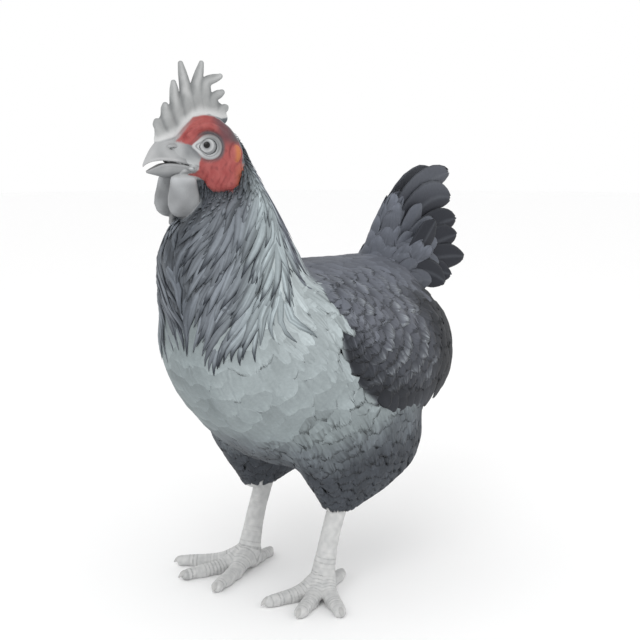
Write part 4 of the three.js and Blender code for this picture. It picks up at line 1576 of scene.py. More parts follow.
@functools.cache
def feather_material():
    """Painted colour with fine barbs that run out and forward from the shaft. The whole coat shares it."""
    dull = {"Roughness": 0.66, "Specular IOR Level": 0.14, "Sheen Weight": 0.02, "Sheen Roughness": 0.5}
    material, tree, shader = new_material("feather", dull)
    colour = vertex_colour(tree)
    vane = node(tree, "ShaderNodeUVMap", uv_map="vane").outputs["UV"]
    parts = node(tree, "ShaderNodeSeparateXYZ", {"Vector": vane}).outputs
    slant = maths(tree, "MULTIPLY_ADD", maths(tree, "ABSOLUTE", parts["X"]), -0.22, parts["Y"])
    place = node(tree, "ShaderNodeTexCoord").outputs["Object"]
    drift = noise(tree, place, 90.0, 2.0)
    wavy = maths(tree, "MULTIPLY_ADD", drift, 0.12, slant)
    barbs = maths(tree, "SINE", maths(tree, "MULTIPLY", wavy, 170.0))
    streak_at = node(tree, "ShaderNodeCombineXYZ", {"X": wavy, "Y": drift}).outputs["Vector"]
    streak = noise(tree, streak_at, 26.0, 3.0)
    both = maths(tree, "ADD", streak, noise(tree, place, 340.0, 3.0))
    tint(tree, shader, colour, both, 0.93, 1.07, **{"From Min": 0.7, "From Max": 1.3})
    emboss(tree, shader, barbs, strength=0.10, distance=0.0003)
    return material


class Style:
    """How one kind of feather is laid: depth of its root, rise of its tip, roundness across, and the rest."""

    tuck = 0.0  # how far its edges and tip bend in
    thick = 0.4
    ragged = 0.03  # unevenness of its edges
    fringe = 0.02  # how far single barbs fall short of the tip, as a share of its length
    sway = 0.08  # turn to either side
    wave = 0.0  # the same, shared by neighbours
    stack = 0.12  # difference in height between neighbours

    def __init__(self, vane, sunk, lift, crown, **rest):
        self.vane, self.sunk, self.lift, self.crown = vane, sunk, lift, crown
        vars(self).update(rest)


def lay(surface, lie, roots, length, half, style, rng, lift=0.0):
    """Feathers laid along a surface: the vertices of each as (n, vertices, 3)."""
    vane = style.vane
    n, rows, columns = len(roots), len(vane.t), len(vane.x)
    sway = rng.normal(0, style.sway, n)
    bend = rng.normal(0, style.sway, n) + style.wave * wobble(roots, 19.0, 2.0)
    stack = rng.normal(0, style.stack, n)
    barb = rng.random((n, columns)) + 0.8 * (np.arange(columns) % 2)
    place, normal = surface.settle(roots)
    steps = np.diff(vane.t, append=1.0)
    edge = np.abs(vane.x)[None]
    points = np.empty((n, rows, columns, 3))
    slopes = np.empty((n, rows, columns, 3))
    for r, t in enumerate(vane.t):
        ahead = flat_way(lie, place, normal)
        across = np.cross(normal, ahead)
        angle = (sway * (1.2 - t) + bend * np.sin(2.6 * math.pi * (t - 0.15)))[:, None]
        ahead = ahead * np.cos(angle) + across * np.sin(angle)
        across = np.cross(normal, ahead)
        wide = half * vane.w[r]
        offset = wide[:, None] * vane.x[None] * (1.0 + style.ragged * rng.normal(0, 1, (n, columns)))
        slip = -(edge**2) * wide[:, None] * (0.3 if r > rows - 4 else 0.1)
        slip = slip - style.fringe * length[:, None] * barb * smoothstep(0.72, 1.0, t)
        row = place[:, None] + across[:, None] * offset[..., None] + ahead[:, None] * slip[..., None]
        row, slope = surface.settle(row, rounds=1)
        rise = -style.sunk * (1 - t) ** 1.25 + (style.lift + lift) * t**2 + stack * min(1.0, t * 2)
        rise = np.broadcast_to(rise, (n,))
        crown = style.crown * wide[:, None] * (1 - edge**2) * min(1.0, t * 2.5)
        tuck = style.tuck * np.maximum(smoothstep(0.72, 1.0, t), edge**3)
        points[:, r] = row + slope * (rise[:, None] + crown - tuck)[..., None]
        slopes[:, r] = slope
        if r < rows - 1:
            place, normal = surface.settle(place + ahead * (length * steps[r])[:, None])
    depth = np.sin(np.pi * vane.t[1:-1] * 0.9 + 0.25)[:, None] * (1 - vane.x[1:-1] ** 2)
    under = points[:, 1:-1, 1:-1] - slopes[:, 1:-1, 1:-1] * (style.thick * depth)[None, ..., None]
    return np.concatenate([points.reshape(n, -1, 3), under.reshape(n, -1, 3)], 1)


# ---------------------------------------------------------------- the coat's colours
# BREAST_SHADE is the breast's grey darkened, painted as shade
BREAST, BREAST_SHADE, SHOULDER = rgb("9ba4a6"), rgb("868f91"), rgb("aeb7b9")
HACKLE_PALE, HACKLE_GREY, HACKLE_DARK = rgb("8d9699"), rgb("676c72"), rgb("2d3137")
BACK, RUMP, WING = rgb("62666f"), rgb("5a5d65"), rgb("5f626a")
LACING, WING_SHADE = rgb("9aa0a5"), rgb("1d1f23")
THIGH_MID, THIGH_DARK, BELLY = rgb("656b70"), rgb("474b51"), rgb("4c5056")
TAIL, TAIL_EDGE, TAIL_SHADE = rgb("54575e"), rgb("686c72"), rgb("2e3036")
HACKLE_EDGE = (  # how far down the hackle's tips reach: Y, Z
    (-125, -104, -97, -81, -72, -60, -47, -33, -5, 30),
    (224, 218, 208, 208, 216, 238, 262, 286, 302, 306),
)


def hackle_line(points):
    """Height above the hackle's lower edge."""
    return points[..., 2] - np.interp(points[..., 1], *HACKLE_EDGE) - 7.0 * wobble(points, 9.0, 4.0)


def front_angle(points):
    """Turn round the neck from its front, in degrees."""
    middle = np.interp(points[..., 2], (215, 266, 298, 354, 384), (-36, -39, -45, -52, -50))
    shift = PARTING * smoothstep(-50, -90, points[..., 1])
    return np.degrees(np.arctan2(np.abs(points[..., 0] - shift), middle - points[..., 1]))


def body_tone(points):
    """The coat's colour over the body, from its place, with painted shade low on the breast, on its side away
    from the lights and along the wing's front edge.
    """
    x, y, z = points[..., 0], points[..., 1], points[..., 2]
    full = points.shape[:-1] + (3,)
    uneven = wobble(points, 15.0)
    at_wing = smoothstep(205, 222, z) * smoothstep(40, 56, np.abs(x)) * smoothstep(290, 276, z)
    front = wing_front(y, z)
    above = z - np.interp(y, (-90, -55, -15, 20, 60), (118, 122, 114, 126, 136))
    return layered(
        np.broadcast_to(BREAST, full),
        # painted shade: darker low on the breast and on the side away from the lights
        (BREAST_SHADE, np.maximum(smoothstep(205, 130, z), smoothstep(40, 10, x))),
        (SHOULDER, smoothstep(200, 245, z) * smoothstep(-80, -46, y)),
        # painted shade along the wing's front edge
        (BREAST_SHADE, 0.35 * at_wing * smoothstep(-26, -4, front)),
        (WING, at_wing * smoothstep(2, 9, front)),
        (THIGH_MID, smoothstep(34, 8, above - 5 * uneven)),
        (THIGH_DARK, smoothstep(10, -14, above - 7 * uneven)),
        (BELLY, smoothstep(22, 8, np.abs(x)) * smoothstep(-40, 0, y) * smoothstep(140, 115, z)),
        (THIGH_DARK, smoothstep(85, 120, y) * smoothstep(262, 215, z)),
        (RUMP, smoothstep(70, 100, y) * smoothstep(205, 230, z)),
        (BACK, smoothstep(250, 268, z + 0.5 * np.minimum(y - 14, 30)) * smoothstep(-22, 4, y)),
        (RUMP, smoothstep(110, 140, y)),
    )


def hackle_tone(points):
    """The hackle's colour: slate in front and behind, pale at the sides, with painted shade down the front
    parting.
    """
    z = points[..., 2]
    angle = front_angle(points) + 7.0 * wobble(points, 14.0, 3.0)
    full = points.shape[:-1] + (3,)
    start = np.interp(z, (210, 250, 300, 345), (27, 35, 48, 78))
    nape = np.interp(z, (250, 300, 340, 370), (96, 99, 106, 116))
    return layered(
        np.broadcast_to(HACKLE_GREY, full),
        (HACKLE_PALE, smoothstep(-14, 26, angle - start) * smoothstep(379, 360, z)),
        # painted shade down the groove where the hackle parts in front
        (HACKLE_DARK, 0.35 * smoothstep(11, 3, angle) * smoothstep(212, 240, z)),
        (BACK, smoothstep(0, 15, angle - nape)),
        (HACKLE_DARK, 0.45 * smoothstep(15, 3, bare_skin(points)) * smoothstep(316, 338, z)),
    )


def streaks(vane, count, rng):
    """Unevenness that runs along each feather like its barbs: (count, vertices) about 0."""
    across = rng.normal(0, 1, (count, 1, len(vane.x))) + np.zeros((1, len(vane.t), 1))
    return np.concatenate([across.reshape(count, -1), across[:, 1:-1, 1:-1].reshape(count, -1)], 1)


def streaked(points, vane, rng, reach):
    """Places to read a feather's colours at, shifted from barb to barb, so that markings end in streaks."""
    return points + (reach * streaks(vane, len(points), rng))[..., None] * np.array((0.4, 0.8, 0.8))


def varied(base, rng, amount):
    """Each feather's colour made a little lighter or darker."""
    return base * (1 + amount * rng.normal(0, 1, (len(base), 1)))[..., None]


def shade_soft(base, vane, rng, rim=0.05, root=0.2, amount=0.02, streak=0.0):
    """Soft round feathers: painted shade towards the root, where the next feather covers it, and a painted
    highlight at the rim.
    """
    across, along = np.abs(vane_uv(vane)).T
    barbs = streaks(vane, len(base), rng)
    # painted shade where the next feather covers this one
    covered = root * smoothstep(0.88, 0.62, along) * np.clip(0.8 + 0.5 * barbs, 0.0, 1.6)
    # painted highlight along the rim
    value = (1 - covered) * (1 + rim * smoothstep(0.7, 1.0, np.maximum(across * along, along)))
    value = np.minimum(value * (1 + streak * barbs * smoothstep(0.3, 0.9, along)), 1.06)
    return varied(base, rng, amount) * value[..., None]


def shade_hackle(base, vane, rng, ticks):
    """Pointed hackle feathers, with a thin dark edge on one side that runs into the tip: partly the feathers' own
    dark marking and partly painted shadow of the crevices between them. Painted shade darkens the covered root,
    and a streaky painted highlight runs beside the shaft.
    """
    across, along = vane_uv(vane).T
    n = len(base)
    strength = np.where(rng.random((n, 1)) < 0.45, 0.95, 0.3) * ticks
    side = across[None] * np.where(rng.random((n, 1)) < 0.3, -1, 1)
    edge = smoothstep(0.3, 0.85, side) * smoothstep(0.38, 0.7, along)
    # the dark edge and tip are partly marking and partly painted crevice shadow; the root's darkening is painted
    # shade
    dark = np.maximum(edge, smoothstep(0.78, 0.97, along)) * strength + 0.5 * smoothstep(0.35, 0.05, along)
    # a painted highlight beside the shaft, streaked
    gleam = 0.15 * ridge(side, -0.25, 0.35) * smoothstep(0.25, 0.6, along) * smoothstep(1.0, 0.8, along)
    gleam = gleam + 0.07 * streaks(vane, n, rng)
    return blend_colour(varied(base, rng, 0.06) * (1 + gleam[..., None]), HACKLE_DARK, dark)


# ---------------------------------------------------------------- which feathers grow where
def bare_skin(points):
    """Distance outside the bare face, comb, bill and eye, in the head's frame."""
    f, l, u = (to_head(points)[..., k] for k in range(3))
    under_lobe = 6.0 * smoothstep(-19.0, -25.0, u) * smoothstep(5.0, 0.0, f) * smoothstep(-24.0, -16.0, f)
    edge = outline_distance(f, u, FACE_EDGE) + under_lobe
    muzzle = np.maximum(6.5 - f, -30.0 - u)
    crest = np.maximum(np.abs(l) - 8.0, -comb_height(f, u) - 2.0)
    chin = np.maximum(9.0 - f, np.abs(l) - 14.0)
    return np.minimum.reduce([edge, muzzle, crest, np.maximum(chin, -46.0 - u)])


def wing_front(y, z):
    """How far a place lies behind the line where the pale shoulder meets the wing."""
    return y - np.interp(z, *WING_FRONT)


def in_wing(points):
    """Distance outside the wing's outline, negative on the wing, and large near the bird's middle."""
    outline = outline_distance(points[..., 1], points[..., 2], WING_EDGE)
    return np.where(np.abs(points[..., 0]) > FLANK, outline, 40.0)


FLANK = 34.0  # how far from the middle the wings begin
UPPER_WING = 224.0  # the pale shoulder lies further over the wing above this height
TRACTS = ("hackle", "breast", "shoulder", "back", "thigh", "face")
CODE = {name: code for code, name in enumerate(TRACTS)}
BARE = -1
ROUND_FACE = ("face", "hackle")  # tracts that end at the bare face and share a slot
BARB_REACH = {"shoulder": 2.5, "back": 3.0, "thigh": 3.0, "breast": 1.5, "hackle": 3.0}  # raggedness of markings
SHADES = {  # for shade_soft: rim (painted highlight), root (painted shade), amount, streak
    "shoulder": (0.02, 0.05, 0.04, 0.10),
    "back": (0.03, 0.10, 0.04, 0.08),
    "thigh": (0.02, 0.08, 0.03, 0.05),
    "breast": (0.03, 0.08, 0.022, 0.03),
    "face": (0.03, 0.2, 0.03, 0.0),
}
STYLES = {  # vane, sunk, lift, crown
    "hackle": Style(LOCK, 3.2, 0.9, 0.24, tuck=0.3, ragged=0.02, fringe=0.0, sway=0.06, wave=0.3, stack=0.3),
    "breast": Style(PETAL, 1.2, 0.07, 0.015, tuck=0.7, thick=0.3, ragged=0.02, fringe=0.03, stack=0.03),
    "shoulder": Style(SOFT, 1.8, 0.2, 0.06, tuck=0.5, ragged=0.02, fringe=0.03, sway=0.05, wave=0.05, stack=0.05),
    "back": Style(PETAL, 1.3, 0.15, 0.03, tuck=0.5, ragged=0.02, fringe=0.035, sway=0.07, stack=0.06),
    "thigh": Style(TUFT, 1.5, 0.14, 0.03, tuck=0.5, thick=0.35, fringe=0.13, sway=0.16, wave=0.15, stack=0.06),
    "face": Style(SMALL, 2.4, 0.1, 0.05, tuck=0.3, thick=0.3, fringe=0.0, sway=0.05, wave=0.06, stack=0.05),
    "wing": Style(COVERT, 2.2, 0.2, 0.03, tuck=0.45, ragged=0.02, fringe=0.075, sway=0.07, stack=0.08),
    "flight": Style(LONG, 2.8, 0.5, 0.08, thick=0.5, ragged=0.015, fringe=0.012, sway=0.02),
    "parting": Style(LOCK, 2.6, -0.9, 0.1, tuck=0.3, fringe=0.0),
}
LENGTH_SPREAD = {"hackle": 0.16, "thigh": 0.14}  # how uneven a tract's feathers are in length


def sizes(points, kind):
    """Feather length, half width and spacing for tips at points."""
    z = points[..., 2]
    same = np.ones_like(z)
    if kind == "hackle":
        rise = (230, 290, 330, 352, 372, 392)
        columns = (74, 68, 56, 42, 28, 18), (4.8, 4.4, 3.4, 2.6, 2.0, 1.6), (6.2, 5.7, 4.6, 3.7, 2.9, 2.4)
        return tuple(np.interp(z, rise, column) for column in columns)
    if kind == "thigh":
        long = np.interp(z, (74, 90, 120, 170), (16, 24, 34, 40))
        return long, long * 0.25, long * 0.215
    if kind == "face":
        reach = np.clip(bare_skin(points), 0, 18)
        return 12.0 + reach * 1.2, 1.5 + reach * 0.06, 1.9 + reach * 0.08
    if kind == "shoulder":
        return np.interp(z, (180, 215, 250), (30, 44, 60)), 6.0 * same, 5.8 * same
    long, half, gap = {"back": (44.0, 9.8, 9.6), "breast": (50.0, 15.0, 13.0)}[kind]
    return long * same, half * same, gap * same


def kind_of(points):
    """The tract at each point, as its code or BARE. Later lines take places from earlier ones."""
    x, y, z = points[..., 0], points[..., 1], points[..., 2]
    bare, wing, front = bare_skin(points), in_wing(points), wing_front(y, z)
    kind = np.full(len(points), CODE["breast"])
    leg = (z < 168) & (y > -34 + 0.9 * np.maximum(z - 140, 0) - 0.7 * np.maximum(140 - z, 0))
    kind[leg | (z < 112) | ((y > 95) & (z < 240))] = CODE["thigh"]
    kind[((y > -6) & (z > 262 - 0.12 * np.abs(y - 60))) | ((y > 125) & (z >= 240))] = CODE["back"]
    hackle = (hackle_line(points) > 0) & (y < 30 - 0.55 * np.maximum(300 - z, 0))
    shoulder = (y > -62) & (y < 16) & (z > 206) & (z + 1.25 * y < 262) & (z + 1.25 * y > 152)
    beside = (z > 178) & (z < 285) & (front > -26)
    ahead = front < np.where(z > UPPER_WING, 3.0, -7.0)
    outer = np.abs(x) > 44
    kind[(shoulder | beside) & outer & ahead & (kind == CODE["breast"])] = CODE["shoulder"]
    kind[hackle] = CODE["hackle"]
    near = np.linalg.norm(to_head(points) - (-6, 0, -4), axis=-1)
    kind[(near < 56) & (bare < 12) & (z > 338)] = CODE["face"]
    kind[bare < 0.4] = BARE
    kind[(wing < -9) & (kind != CODE["shoulder"]) & (front > 0)] = BARE
    kind[(wing < 1.5) & (z < 228 - 0.1 * y) & (y > -12)] = BARE
    pale = (kind == CODE["breast"]) | (kind == CODE["shoulder"])
    kind[pale & outer & (z > 172) & (front > np.where(z > UPPER_WING, 3.0, -3.0))] = BARE
    kind[(wing < -26) | (z < 71)] = BARE
    return kind


def tract_colours(kind, points, vane, rng):
    """Colours for the vertices of one tract's feathers."""
    if kind == "hackle":
        tone = hackle_tone(streaked(points, vane, rng, BARB_REACH[kind]))
        height = points[..., 2].mean(1, keepdims=True)
        return shade_hackle(tone, vane, rng, mix(1.0, 0.4, smoothstep(305, 345, height)))
    rim, root, amount, streak = SHADES[kind]
    if kind == "face":
        return shade_soft(hackle_tone(points), vane, rng, rim, root, amount, streak)
    base = body_tone(streaked(points, vane, rng, BARB_REACH[kind]))
    if kind == "thigh":
        barbs = smoothstep(-0.2, 1.2, streaks(vane, len(points), rng))
        z = points[..., 2]
        here = smoothstep(174, 156, z) * mix(0.45, 1.0, smoothstep(92, 118, z))
        strength = here * mix(0.3, 1.0, rng.random((len(points), 1)))
        strength = strength * smoothstep(0.4, 0.95, vane_uv(vane)[:, 1])
        mottle = 1 + 0.10 * wobble(points, 8.0, 1.0) * smoothstep(165, 140, z)
        base = base * (mottle * (1 - 0.38 * strength * barbs))[..., None]
    if kind == "shoulder":
        middle = points.mean(1)
        streak = 0.04 + 0.06 * smoothstep(-34, -10, wing_front(middle[:, 1:2], middle[:, 2:]))
    return shade_soft(base, vane, rng, rim, root, amount, streak)


def extra_lift(kind, points):
    """Where a tract's tips stand out more."""
    x, y, z = points.T
    if kind == "breast":
        return 0.2 * smoothstep(40, 60, np.abs(x)) * smoothstep(150, 175, z)
    if kind == "shoulder":
        return 0.25 * smoothstep(-12, 0, wing_front(y, z))
    if kind == "back":
        return 0.2 * smoothstep(268, 256, z)
    return np.zeros(len(points))


def wattle_gap(points):
    """How near each feather comes to the wattles and the small lobes below the bill."""
    head = to_head(points)
    gap = wattles(*(head[..., k] for k in range(3))).min(1)
    for place in small_lobe_points():
        gap = np.minimum(gap, np.linalg.norm(head - place, axis=-1).min(1) - LOBE_REACH - 0.6)
    return gap


def down_lie(points):
    """Straight down."""
    return np.broadcast_to((0.0, 0.0, -1.0), points.shape)


def add_parting(grid, rng):
    """A dark underlayer where the hackle parts in front."""
    surface = grid.field()
    cloud = points_on(grid, CLOUD // 2, rng)
    x, y, z = cloud.T
    tips = cloud[(np.abs(x - PARTING) < 26) & (y < -76) & (z > 214) & (z < 352)]
    tips = tips[scatter(tips, np.full(len(tips), 6.0), rng)]
    long, half = np.full(len(tips), 30.0), np.full(len(tips), 4.4)
    roots = upstream(surface, down_lie, tips, long)
    points = lay(surface, down_lie, roots, long, half, STYLES["parting"], rng)
    keep = wattle_gap(points) > 1.0
    coat = Coat("coat_parting", "hackle_feathers")
    coat.add(points[keep], LOCK, shade_soft(hackle_tone(points[keep]), LOCK, rng), roots[keep])
    coat.build()


def shortened(kind, tips, roots, long):
    """Feather lengths cut where the root would lie under the wing or on bare skin."""
    if kind in ("thigh", "breast"):
        return np.where(in_wing(roots) < -6.0, np.clip(in_wing(tips) + 9.0, 12.0, long), long)
    if kind in ROUND_FACE:
        clear = np.maximum(bare_skin(tips) * 0.85, 6.0)
        return np.where(bare_skin(roots) < 0.6, np.minimum(long, clear), long)
    return long


def add_body_coat(grid, rng):
    """Every tract's feathers. Their roots are found from their tips, so that tips make a tract's edge."""
    surface = grid.field()
    cloud = points_on(grid, CLOUD, rng)
    kinds = kind_of(cloud)
    for kind, style in ((kind, STYLES[kind]) for kind in TRACTS):
        tips = cloud[kinds == CODE[kind]]
        tips = tips[scatter(tips, sizes(tips, kind)[2], rng)]
        long, half, _ = sizes(tips, kind)
        uneven = LENGTH_SPREAD.get(kind, 0.08)
        long = long * np.clip(1 + uneven * rng.normal(0, 1, len(tips)), 0.6, 1.4)
        half = half * np.clip(1 + 0.12 * rng.normal(0, 1, len(tips)), 0.7, 1.3)
        lie = shoulder_lie if kind == "shoulder" else body_lie
        roots = upstream(surface, lie, tips, long)
        short = shortened(kind, tips, roots, long)
        half, long = half * np.sqrt(short / long), short
        roots = upstream(surface, lie, tips, long)
        if kind in ROUND_FACE:
            keep = bare_skin(roots) > 0.2
            roots, tips, long, half = roots[keep], tips[keep], long[keep], half[keep]
        points = lay(surface, lie, roots, long, half, style, rng, extra_lift(kind, tips))
        if kind in ROUND_FACE:
            clear = (wattle_gap(points) > 1.0) & (bare_skin(points).min(1) > -1.2)
            points, roots = points[clear], roots[clear]
        colours = tract_colours(kind, points, style.vane, rng)
        left = roots[:, 0] > 0
        for side, pick in (("_l", left), ("_r", ~left)) if kind == "thigh" else (("", left | True),):
            coat = Coat(f"coat_{kind}{side}", "hackle_feathers" if kind in ROUND_FACE else "body_feathers")
            coat.add(points[pick], style.vane, colours[pick], roots[pick])
            coat.build()


# ---------------------------------------------------------------- wings
FLIGHTS = (  # each long feather's tip on the wing's lower and rear edge, (y, z), length and half width
    ((170, 200), 88, 9.0),
    ((178, 187), 92, 9.0),
    ((173, 174), 92, 9.0),
    ((173, 158), 92, 9.5),
    ((157, 153), 88, 9.5),
    ((147, 144), 84, 9.5),
    ((131, 147), 78, 9.5),
    ((118, 146), 74, 9.5),
    ((105, 147), 68, 9.5),
    ((92, 148), 62, 9.5),
    ((79, 150), 56, 9.0),
    ((66, 153), 50, 9.0),
    ((54, 158), 46, 8.5),
    ((43, 164), 44, 8.5),
)
SHOULDER_AT = (-14.0, 228.0)
WING_REACH = (186.0, 108.0)
WING_ROWS = (  # rows of coverts as a share of the wing's reach, with length, half width and lacing
    (0.96, 60, 14.0, 0.3),
    (0.86, 58, 14.0, 0.2),
    (0.77, 56, 14.0, 1.0),
    (0.69, 52, 13.5, 0.1),
    (0.62, 50, 13.5, 1.0),
    (0.54, 48, 13.0, 0.1),
    (0.47, 46, 13.0, 1.0),
    (0.39, 42, 12.0, 0.1),
    (0.32, 40, 11.0, 0.9),
    (0.25, 36, 10.0, 0.1),
    (0.18, 34, 8.0, 0.5),
    (0.12, 32, 7.0, 0.2),
    (0.06, 30, 7.0, 0.1),
)
ROW_SPACING = 0.8  # gap between the tips of a row, as a share of their half width


def covert_row(share, half, rng):
    """Places (y, z) of one row's tips, on an arc round the shoulder."""
    turn = np.linspace(-0.5 * math.pi, 0.5 * math.pi, 400)
    y = SHOULDER_AT[0] + WING_REACH[0] * share * np.cos(turn)
    z = SHOULDER_AT[1] - WING_REACH[1] * share * np.sin(turn)
    run = np.concatenate([[0], np.cumsum(np.hypot(np.diff(y), np.diff(z)))])
    at = np.arange(rng.uniform(0, half), run[-1], ROW_SPACING * half)
    at = at + rng.normal(0, 1.6, len(at))
    y, z = np.interp(at, run, y), np.interp(at, run, z)
    behind = wing_front(y, z) > np.where(z > UPPER_WING, -8.0, -3.0)
    keep = (outline_distance(y, z, WING_EDGE) < 1.5) & behind
    return y[keep], z[keep]


def add_wing(grid, side, rng):
    """A wing's long feathers, and rows of coverts over them from the rear edge up to the shoulder."""
    surface = Wing(grid.field(), Sheet(grid, side))
    coat = Coat(f"coat_wing_{SIDES[side]}", "wing_feathers")
    spots, long, half = (np.array([row[k] for row in FLIGHTS], float) for k in range(3))
    tips = surface.reach(*spots.T)
    roots = upstream(surface, wing_lie, tips, long)
    for k in range(len(roots)):
        root, length, wide = (values[k : k + 1] for values in (roots, long, half))
        points = lay(surface, wing_lie, root, length, wide, STYLES["flight"], rng, -0.8 + 0.12 * k)
        coat.add(points, LONG, wing_colours(points, LONG, 0.3, rng), root)
    for level, (share, length, wide, lacing) in enumerate(WING_ROWS):
        y, z = covert_row(share, wide, rng)
        tips = surface.reach(y, z)
        long = length * (1 + 0.06 * rng.normal(0, 1, len(tips)))
        roots = upstream(surface, wing_lie, tips, long)
        half = np.full(len(tips), float(wide))
        behind = wing_front(y, z)
        pressed = 1.2 * smoothstep(8, -4, behind) * smoothstep(216, 230, z)
        lift = (0.1 + 0.05 * level) * smoothstep(-7, 14, behind) - pressed
        points = lay(surface, wing_lie, roots, long, half, STYLES["wing"], rng, lift)
        coat.add(points, COVERT, wing_colours(points, COVERT, lacing, rng), roots)
    coat.build()


def wing_colours(points, vane, lacing, rng):
    """Slate, with pale lacing that comes and goes, pale at the shoulder and near black behind and below."""
    y, z = np.moveaxis(streaked(points, vane, rng, 4.0)[..., 1:], -1, 0)
    front = smoothstep(-5, -11, wing_front(points[..., 1], points[..., 2]))
    low = np.maximum(smoothstep(50, 14, z - np.interp(y, *WING_LOW)), 0.6 * smoothstep(236, 200, z))
    dark = np.maximum(smoothstep(80, 125, y) * smoothstep(268, 240, z), 0.8 * low)
    tone = layered(
        np.broadcast_to(WING, points.shape),
        (BACK, 0.8 * smoothstep(236, 262, z)),
        (WING_SHADE, 0.9 * dark),
    )
    across, along = vane_uv(vane).T
    here = smoothstep(-0.6, 0.3, wobble(points, 24.0, 5.0)) * lacing * (1 - 0.65 * dark)
    here = here * mix(1.0, 0.5, smoothstep(244, 264, z))
    fringe = smoothstep(0.4, 0.9, np.sqrt(along**4 + 0.1 * across**2 * along**2))
    barbs = np.clip(0.52 + 0.62 * streaks(vane, len(points), rng), 0, 1.15)
    tone = blend_colour(varied(tone, rng, 0.05), LACING, fringe[None] * here * barbs)
    tone = blend_colour(tone, WING_SHADE, 0.5 * smoothstep(0.8, 0.5, along)[None] * (1 - front))
    pale = mix(BREAST * 0.9, SHOULDER, smoothstep(205, 245, points[..., 2:]))
    return mix(tone, pale, front[..., None])


# ---------------------------------------------------------------- tail
TAIL_ROOT = (140.0, 262.0)
TAIL_THICK = 0.9
TAIL_FEATHERS = (  # x at root and tip, bend (y, z), tip (y, z), half width
    ("front", 2.6, 3.0, (148, 308), (161, 336), 12.0),
    ("1", 6.0, 9.0, (154, 342), (230, 350), 15.0),
    ("2", 9.4, 14.0, (172, 340), (226, 325), 17.5),
    ("3", 12.8, 18.5, (182, 304), (229, 306), 16.0),
    ("4", 16.2, 23.0, (186, 288), (226, 291), 15.0),
    ("5", 19.6, 27.5, (188, 276), (232, 269), 13.0),
    ("6", 23.0, 32.0, (180, 262), (205, 254), 12.0),
    ("covert_1", 26.4, 31.0, (170, 294), (179, 309), 13.0),
    ("covert_2", 29.8, 37.0, (166, 266), (188, 248), 13.0),
)
TAIL_VANE = Vane(
    (0, 0.1, 0.22, 0.34, 0.46, 0.58, 0.69, 0.79, 0.87, 0.93, 0.975, 1.0),
    (0.3, 0.55, 0.78, 0.93, 1.0, 1.0, 0.99, 0.94, 0.83, 0.66, 0.46, 0.2),
    11,
)
BASE_COVERTS = (  # broad feathers over the tail's base: x, tip (y, z), the way it points, length, half width
    (1, (150, 322), (0.25, 0.97), 50, 10),
    (5, (160, 330), (0.35, 0.94), 52, 11),
    (4, (144, 306), (0.2, 0.98), 38, 10),
    (9, (158, 318), (0.35, 0.94), 46, 10),
    (14, (176, 322), (0.5, 0.87), 48, 11),
    (19, (190, 306), (0.8, 0.6), 48, 11),
    (24, (192, 286), (0.95, 0.3), 46, 11),
    (30, (186, 268), (1.0, 0.05), 44, 11),
    (17, (160, 298), (0.5, 0.87), 40, 11),
    (24, (172, 286), (0.8, 0.6), 40, 11),
    (30, (172, 268), (0.95, 0.3), 40, 11),
    (35, (168, 252), (0.95, -0.1), 40, 10),
    (12, (148, 300), (0.35, 0.94), 34, 9),
    (22, (150, 284), (0.6, 0.8), 34, 10),
    (30, (154, 270), (0.85, 0.5), 34, 10),
    (36, (152, 256), (0.95, 0.15), 34, 10),
)
TAIL_FAN = np.array((0.0, 116.0, 238.0))  # feathers of the tail's base point away from here


def fan_lie(points):
    """Away from a place inside the tail's base."""
    return unit(points - TAIL_FAN)


def add_tail_base(coat, rng):
    """Short feathers that wrap the front of the tail and close the gap between its two sides."""
    grid = Grid((-40, 96, 226), (40, 214, 364), 2.0)
    add_chain(grid, ((0, 128, 262), (0, 145, 300), (0, 158, 330)), (17, 14, 8), 14)
    for side in SIDES:
        line = ((side * 12, 132, 262), (side * 22, 160, 280), (side * 27, 178, 282))
        add_chain(grid, line, (15, 13, 9), 14, blend=8.0)
    cloud = points_on(grid, CLOUD // 8, rng)
    tips = cloud[(cloud[:, 2] > 272) & (cloud[:, 1] < 172)]
    tips = tips[scatter(tips, np.full(len(tips), 10.5), rng)]
    surface = grid.field()
    long, half = np.full(len(tips), 44.0), np.full(len(tips), 11.0)
    roots = upstream(surface, fan_lie, tips, long)
    points = lay(surface, fan_lie, roots, long, half, STYLES["back"], rng, 0.4)
    colours = shade_soft(np.broadcast_to(BACK, points.shape), PETAL, rng, 0.06, 0.15, 0.04, 0.05)
    coat.add(points, PETAL, colours, roots)


def tail_vane(root, bend, tip, half, rng):
    """One tail feather: a curved, slightly roofed vane in an upright plane."""
    t = TAIL_VANE.t[:, None]
    root, bend, tip = (np.array(p, float) for p in (root, bend, tip))
    spine = root * (1 - t) ** 2 + bend * 2 * t * (1 - t) + tip * t**2
    ahead = unit(2 * (1 - t) * (bend - root) + 2 * t * (tip - bend))
    across = unit(np.cross(ahead, (1.0, 0, 0)))
    x = TAIL_VANE.x[None, :, None]
    wide = (half * TAIL_VANE.w)[:, None, None]
    jag = 1 + 0.02 * rng.normal(0, 1, (len(t), len(TAIL_VANE.x), 1))
    split = 0.035 * np.linalg.norm(tip - root) * smoothstep(0.75, 1.0, t)[:, None]
    split = split * rng.random((1, len(TAIL_VANE.x), 1))
    points = spine[:, None] + across[:, None] * wide * x * jag
    points = points - ahead[:, None] * (wide * 0.30 * np.abs(x) ** 2.4 + split)
    bow = 2.6 * (1 - x[..., 0] ** 2) + 0.8 * ridge(x[..., 0], 0.0, 0.12) * (1 - 0.6 * t)
    points[..., 0] += (bow - 1.2) * np.minimum(1, wide[..., 0] / 8.0)
    under = points[1:-1, 1:-1] - np.array((TAIL_THICK, 0, 0)) * (1 - x[:, 1:-1] ** 2)
    return np.concatenate([points.reshape(-1, 3), under.reshape(-1, 3)])


